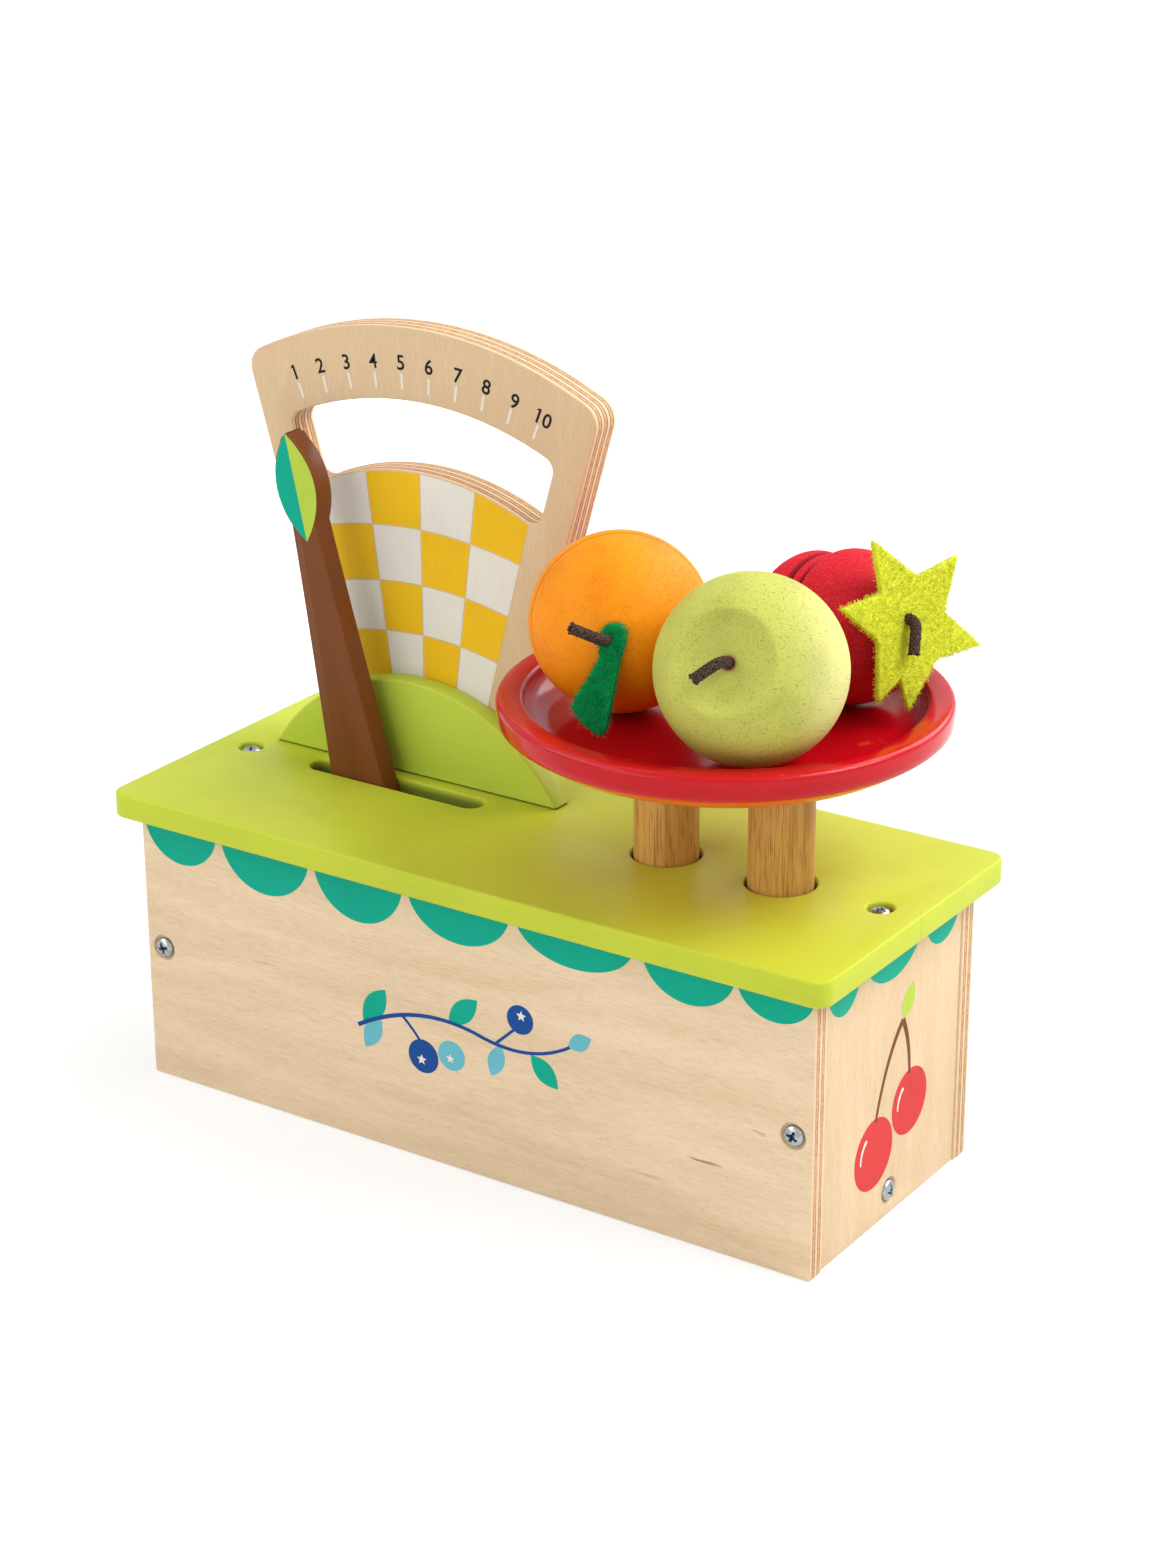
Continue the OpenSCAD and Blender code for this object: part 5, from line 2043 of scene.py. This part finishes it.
@dataclass
class Apple:
    """The apple: a turned ball with a dish round its stem."""

    braid: Braid
    radius: float = 25.7 * MM
    heading: float = -80.0
    rise: float = 24.0
    dish_w: float = 13.88 * MM
    dish_h: float = 3.34 * MM
    dish_soft: float = 0.8 * MM
    hole_r: float = 1.5 * MM
    hole_d: float = 2.5 * MM
    seam: float = -28.0
    seam_d: float = 0.16 * MM
    seam_w: float = 0.35 * MM

    def build(self) -> None:
        """Builds the apple."""
        low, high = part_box("apple_body")
        centre = Vector((high.x - self.radius, high.y - self.radius, low.z + self.radius))
        place = axis_place(centre, self.heading, self.rise)
        ball = lathe("apple_ball", self.profile(), place, 128)
        # fade paints a pale sheen on the apple's side facing +X and +Y.
        finish = TurnedFruit(
            "apple_stain", Hue.APPLE, Hue.APPLE_DEEP, place, speckle=0.22, roughness=0.5, bare=3.0 * MM, pore=0.55,
            fade=0.42)
        dress(ball, finish.make(), "apple", "pale_green_lacquer", ["apple_body"])
        self.braid.stem(
            "apple", place, lead=self.radius * 0.84, bend=84, turn=-47, seated=self.radius * 0.71 - CORD_SEAT,
            tail=6.2 * MM)

    def profile(self) -> list[Point]:
        """The ball's section, with its dish, its seam and the hole of its stem.

        Returns:
            Points of radius and height.
        """
        curve_r = (self.dish_w ** 2 + self.dish_h ** 2) / (2 * self.dish_h)
        floor = math.sqrt(self.radius ** 2 - self.dish_w ** 2) - self.dish_h
        seam_h = self.radius * math.sin(math.radians(self.seam))
        points = [(0.0, -self.radius)]
        steps = 140
        for i in range(1, steps):
            turn = math.pi * i / steps
            radius, height = self.radius * math.sin(turn), -self.radius * math.cos(turn)
            radius -= self.seam_d * math.exp(-(((height - seam_h) / self.seam_w) ** 2))
            if height > 0:
                bowl = floor + curve_r - math.sqrt(max(0.0, curve_r ** 2 - radius ** 2))
                height = smooth_low(height, bowl, self.dish_soft)
                height -= self.hole_d if radius < self.hole_r else 0.0
            points.append((radius, height))
        return points + [(0.0, points[-1][1])]


@dataclass
class Tomato:
    """The tomato: two turned balls run together, grooves round them and a felt star."""

    braid: Braid
    radius: float = 21.5 * MM
    tail_r: float = 20.0 * MM
    step: float = 9.0 * MM
    tail_lift: float = 1.0 * MM
    tail_reach: float = 14.0 * MM
    waist_soft: float = 0.4 * MM
    heading: float = -13.0
    rise: float = 12.15
    grooves: tuple[float, ...] = (-4.4 * MM, -9.0 * MM)
    groove_depths: tuple[float, ...] = (3.4 * MM, 2.1 * MM)
    groove_widths: tuple[float, ...] = (2.0 * MM, 0.9 * MM)
    star_r: float = 25.0 * MM
    stem_spot: Point = (-3.2 * MM, -1.4 * MM)
    outline: tuple[Point, ...] = (
        (-26.3, -9.1), (-13.6, 4.4), (-15.6, 20.7), (-1.6, 13.4), (10.9, 27.4), (10.0, 7.7),
        (21.1, -5.2), (11.8, -6.6), (16.4, -15.8), (-0.1, -13.5), (-11.6, -26.1), (-12.0, -9.6))
    hairs: tuple[float, int] = (4.6, 23)
    felt_gap: float = 1.1 * MM
    place: Matrix = field(init=False)

    def build(self) -> None:
        """Builds the tomato."""
        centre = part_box("tomato_body")[1] - Vector((self.radius, self.radius, self.radius))
        self.place = axis_place(centre, self.heading, self.rise)
        ball = lathe("tomato_ball", self.profile(), self.place, 120)
        back = self.place.inverted()
        for vert in ball.data.vertices:
            vert.co.z += self.tail_lift * unit(-(back @ vert.co).z / self.tail_reach)
        # Its dark lines are painted shade in the two grooves.
        finish = TurnedFruit(
            "tomato_stain", Hue.TOMATO, Hue.TOMATO_DEEP, self.place, mottle=0.3, speckle=0.4, speck=2500.0,
            roughness=0.7, dark_line_heights=self.grooves, dark_line_width=1.3 * MM, nap=0.3, pore=0.08, bloom=0.24)
        dress(ball, finish.make(), "tomato", "red_lacquer", ["tomato_body"])
        seat = self.place @ Matrix.Translation((*self.stem_spot, 0.0))
        self.braid.stem(
            "tomato", seat, lead=self.radius + 2.1 * MM, bend=88, turn=-20, seated=self.radius - CORD_SEAT,
            tail=6.8 * MM)
        self.star()

    def profile(self) -> list[Point]:
        """The balls' section, with the grooves between them.

        Returns:
            Points of radius and height.
        """
        points = []
        steps = 300
        low, high = -self.step - self.tail_r, self.radius
        for i in range(steps + 1):
            height = (low + high) / 2 - (high - low) / 2 * math.cos(math.pi * i / steps)
            front = math.sqrt(max(0.0, self.radius ** 2 - height ** 2))
            back = math.sqrt(max(0.0, self.tail_r ** 2 - (height + self.step) ** 2))
            radius = -smooth_low(-front, -back, self.waist_soft)
            for groove, depth, width in zip(self.grooves, self.groove_depths, self.groove_widths):
                radius -= depth * math.exp(-abs(height - groove) / width)
            points.append((max(0.0, radius) if 0 < i < steps else 0.0, height))
        return points

    def star(self) -> None:
        """Puts the felt star on the stem."""
        tips = [Vector(spot) * MM for spot in self.outline]
        between, rings = 3, 5
        swell, phase, sag = 0.035, 0.6, 0.01
        rim = [a.lerp(b, i / between) for a, b in zip(tips, tips[1:] + tips[:1]) for i in range(between)]
        shape = bmesh.new()
        grid = [[shape.verts.new((0, 0, 0))] * len(rim)]
        for i in range(1, rings + 1):
            row = []
            for spot in rim:
                flat = spot * i / rings
                wave = swell * math.sin(3 * math.atan2(flat.y, flat.x) + phase) - sag
                row.append(shape.verts.new((flat.x, flat.y, wave * flat.length_squared / self.star_r)))
            grid.append(row)
        for inner, outer in zip(grid, grid[1:]):
            for j in range(len(rim)):
                corners = [inner[j], outer[j], outer[(j + 1) % len(rim)], inner[(j + 1) % len(rim)]]
                shape.faces.new(list(dict.fromkeys(corners))).smooth = True
        bmesh.ops.recalc_face_normals(shape, faces=shape.faces)
        shape.transform(self.place @ Matrix.Translation((0, 0, self.radius + self.felt_gap)))
        area = sum(f.calc_area() for f in shape.faces)
        piece, nap = felt_piece(shape, "star", "tomato", Felt("lime_felt", Hue.FELT_LIME), self.hairs)


# ---- the studio


@dataclass
class Studio:
    """Camera, lamps, white surroundings and the floor."""

    spot: Span = (0.50701, -0.74035, 0.46849)
    right: Span = (0.831823, 0.555029, -0.003606)
    up: Span = (-0.206853, 0.316027, 0.925926)
    lens_mm: float = 78.98
    shift: Point = (0.001877, 0.005978)
    target: Span = (0.0, 0.0, 0.1)
    surround: float = 0.56
    paper: float = 0.8
    faint: float = 0.45
    glow: float = 0.57
    fade: Point = (0.25, 0.6)
    reach: float = 4.0
    drop: float = 0.2 * MM
    lamps: tuple[tuple[str, Span, float, float], ...] = (
        ("high_right", (0.75, 0.25, 0.95), 0.6, 9.2), ("back", (0.3, 0.95, 0.85), 0.8, 8.4),
        ("left_front", (-0.8, -0.6, 0.9), 0.8, 5.2), ("right_window", (1.05, -0.22, 0.9), 0.6, 1.5),
        ("front_fill", (-0.3, -1.4, 0.6), 0.8, 4.5))

    def build(self) -> None:
        """Sets up the studio."""
        self.camera()
        for lamp in self.lamps:
            self.lamp(*lamp)
        self.world()
        self.floor()
        bpy.context.scene.view_settings.view_transform = "Standard"

    def camera(self) -> None:
        """Sets the camera where the photo's camera was."""
        data = bpy.data.cameras.new("camera")
        data.sensor_width = 36.0
        data.lens = self.lens_mm
        data.shift_x, data.shift_y = self.shift
        data.clip_start = 0.01
        item = new_object("camera", data)
        right, up = Vector(self.right), Vector(self.up)
        turn = Matrix((right, up, right.cross(up).normalized())).transposed().to_4x4()
        item.matrix_world = Matrix.Translation(self.spot) @ turn
        bpy.context.scene.camera = item

    def lamp(self, name: str, spot: Sequence[float], size: float, power: float) -> None:
        """Hangs a soft lamp that looks at the toy.

        Args:
            name: The lamp's name.
            spot: Where it hangs.
            size: Its width and height.
            power: Its power in watts.
        """
        data = bpy.data.lights.new(name, "AREA")
        data.shape = "SQUARE"
        data.size = size
        data.energy = power
        item = new_object(name, data)
        item.location = spot
        item.rotation_euler = (Vector(self.target) - Vector(spot)).to_track_quat("-Z", "Y").to_euler()

    def world(self) -> None:
        """White to the camera and in reflections, and a soft grey light for the rest."""
        world = bpy.data.worlds.new("studio")
        world.use_nodes = True
        bench = Bench(world.node_tree)
        bench.tree.nodes.clear()
        soft, white = (bench.output("ShaderNodeBackground", inputs={"Color": Hue.BACKDROP, "Strength": strength})
                       for strength in (self.surround, 1.0))
        both = bench.output("ShaderNodeMixShader", inputs={0: self.seen(bench), 1: soft, 2: white})
        bench.node("ShaderNodeOutputWorld", inputs={"Surface": both})
        bpy.context.scene.world = world

    @staticmethod
    def seen(bench: Bench) -> Value:
        """1 for rays from the camera, reflections and clear materials.

        Args:
            bench: The tree that asks.

        Returns:
            The number.
        """
        path = bench.node("ShaderNodeLightPath")
        rays = [Value(bench, path.outputs[n]) for n in ("Is Camera Ray", "Is Glossy Ray", "Is Transmission Ray")]
        return (rays[0] + rays[1] + rays[2]).maths("MINIMUM", 1.0)

    def floor(self) -> None:
        """Lays a white floor that keeps the toy's shadow."""
        mesh = bpy.data.meshes.new("floor")
        corners = [(-1, -1), (1, -1), (1, 1), (-1, 1)]
        mesh.from_pydata([(x * self.reach, y * self.reach, -self.drop) for x, y in corners], [], [(0, 1, 2, 3)])
        ground = new_object("floor", mesh)
        bench = Shade("paper")
        x, y, _ = bench.spot()
        far = (x * x + y * y).maths("SQRT").ramp(*self.fade)
        paper = bench.output("ShaderNodeBsdfDiffuse", inputs={"Color": (*[self.paper] * 3, 1)})
        faint = bench.output("ShaderNodeBsdfDiffuse", inputs={"Color": (*[self.faint] * 3, 1)})
        strength = far * (1 - self.glow) + self.glow
        glow = bench.output("ShaderNodeEmission", inputs={"Color": Hue.BACKDROP, "Strength": strength})
        lit = bench.output("ShaderNodeAddShader", inputs={0: faint, 1: glow})
        both = bench.output("ShaderNodeMixShader", inputs={0: self.seen(bench), 1: paper, 2: lit})
        bench.node("ShaderNodeOutputMaterial", inputs={"Surface": both})
        mesh.materials.append(bench.material)


def main() -> None:
    """Builds the toy in order and the studio round it."""
    logging.basicConfig(level=logging.INFO, format="%(name)s: %(message)s")
    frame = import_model()
    braid = Braid()
    braid.prepare()
    for part in (Studio(), Casing(frame), Dial(frame), Pointer(frame), Screws(), Springs(), Carriage(frame),
                 Orange(braid), Apple(braid), Tomato(braid)):
        part.build()
    bpy.data.objects.remove(bpy.data.objects["screw_template"])


if __name__ == "__main__":
    main()
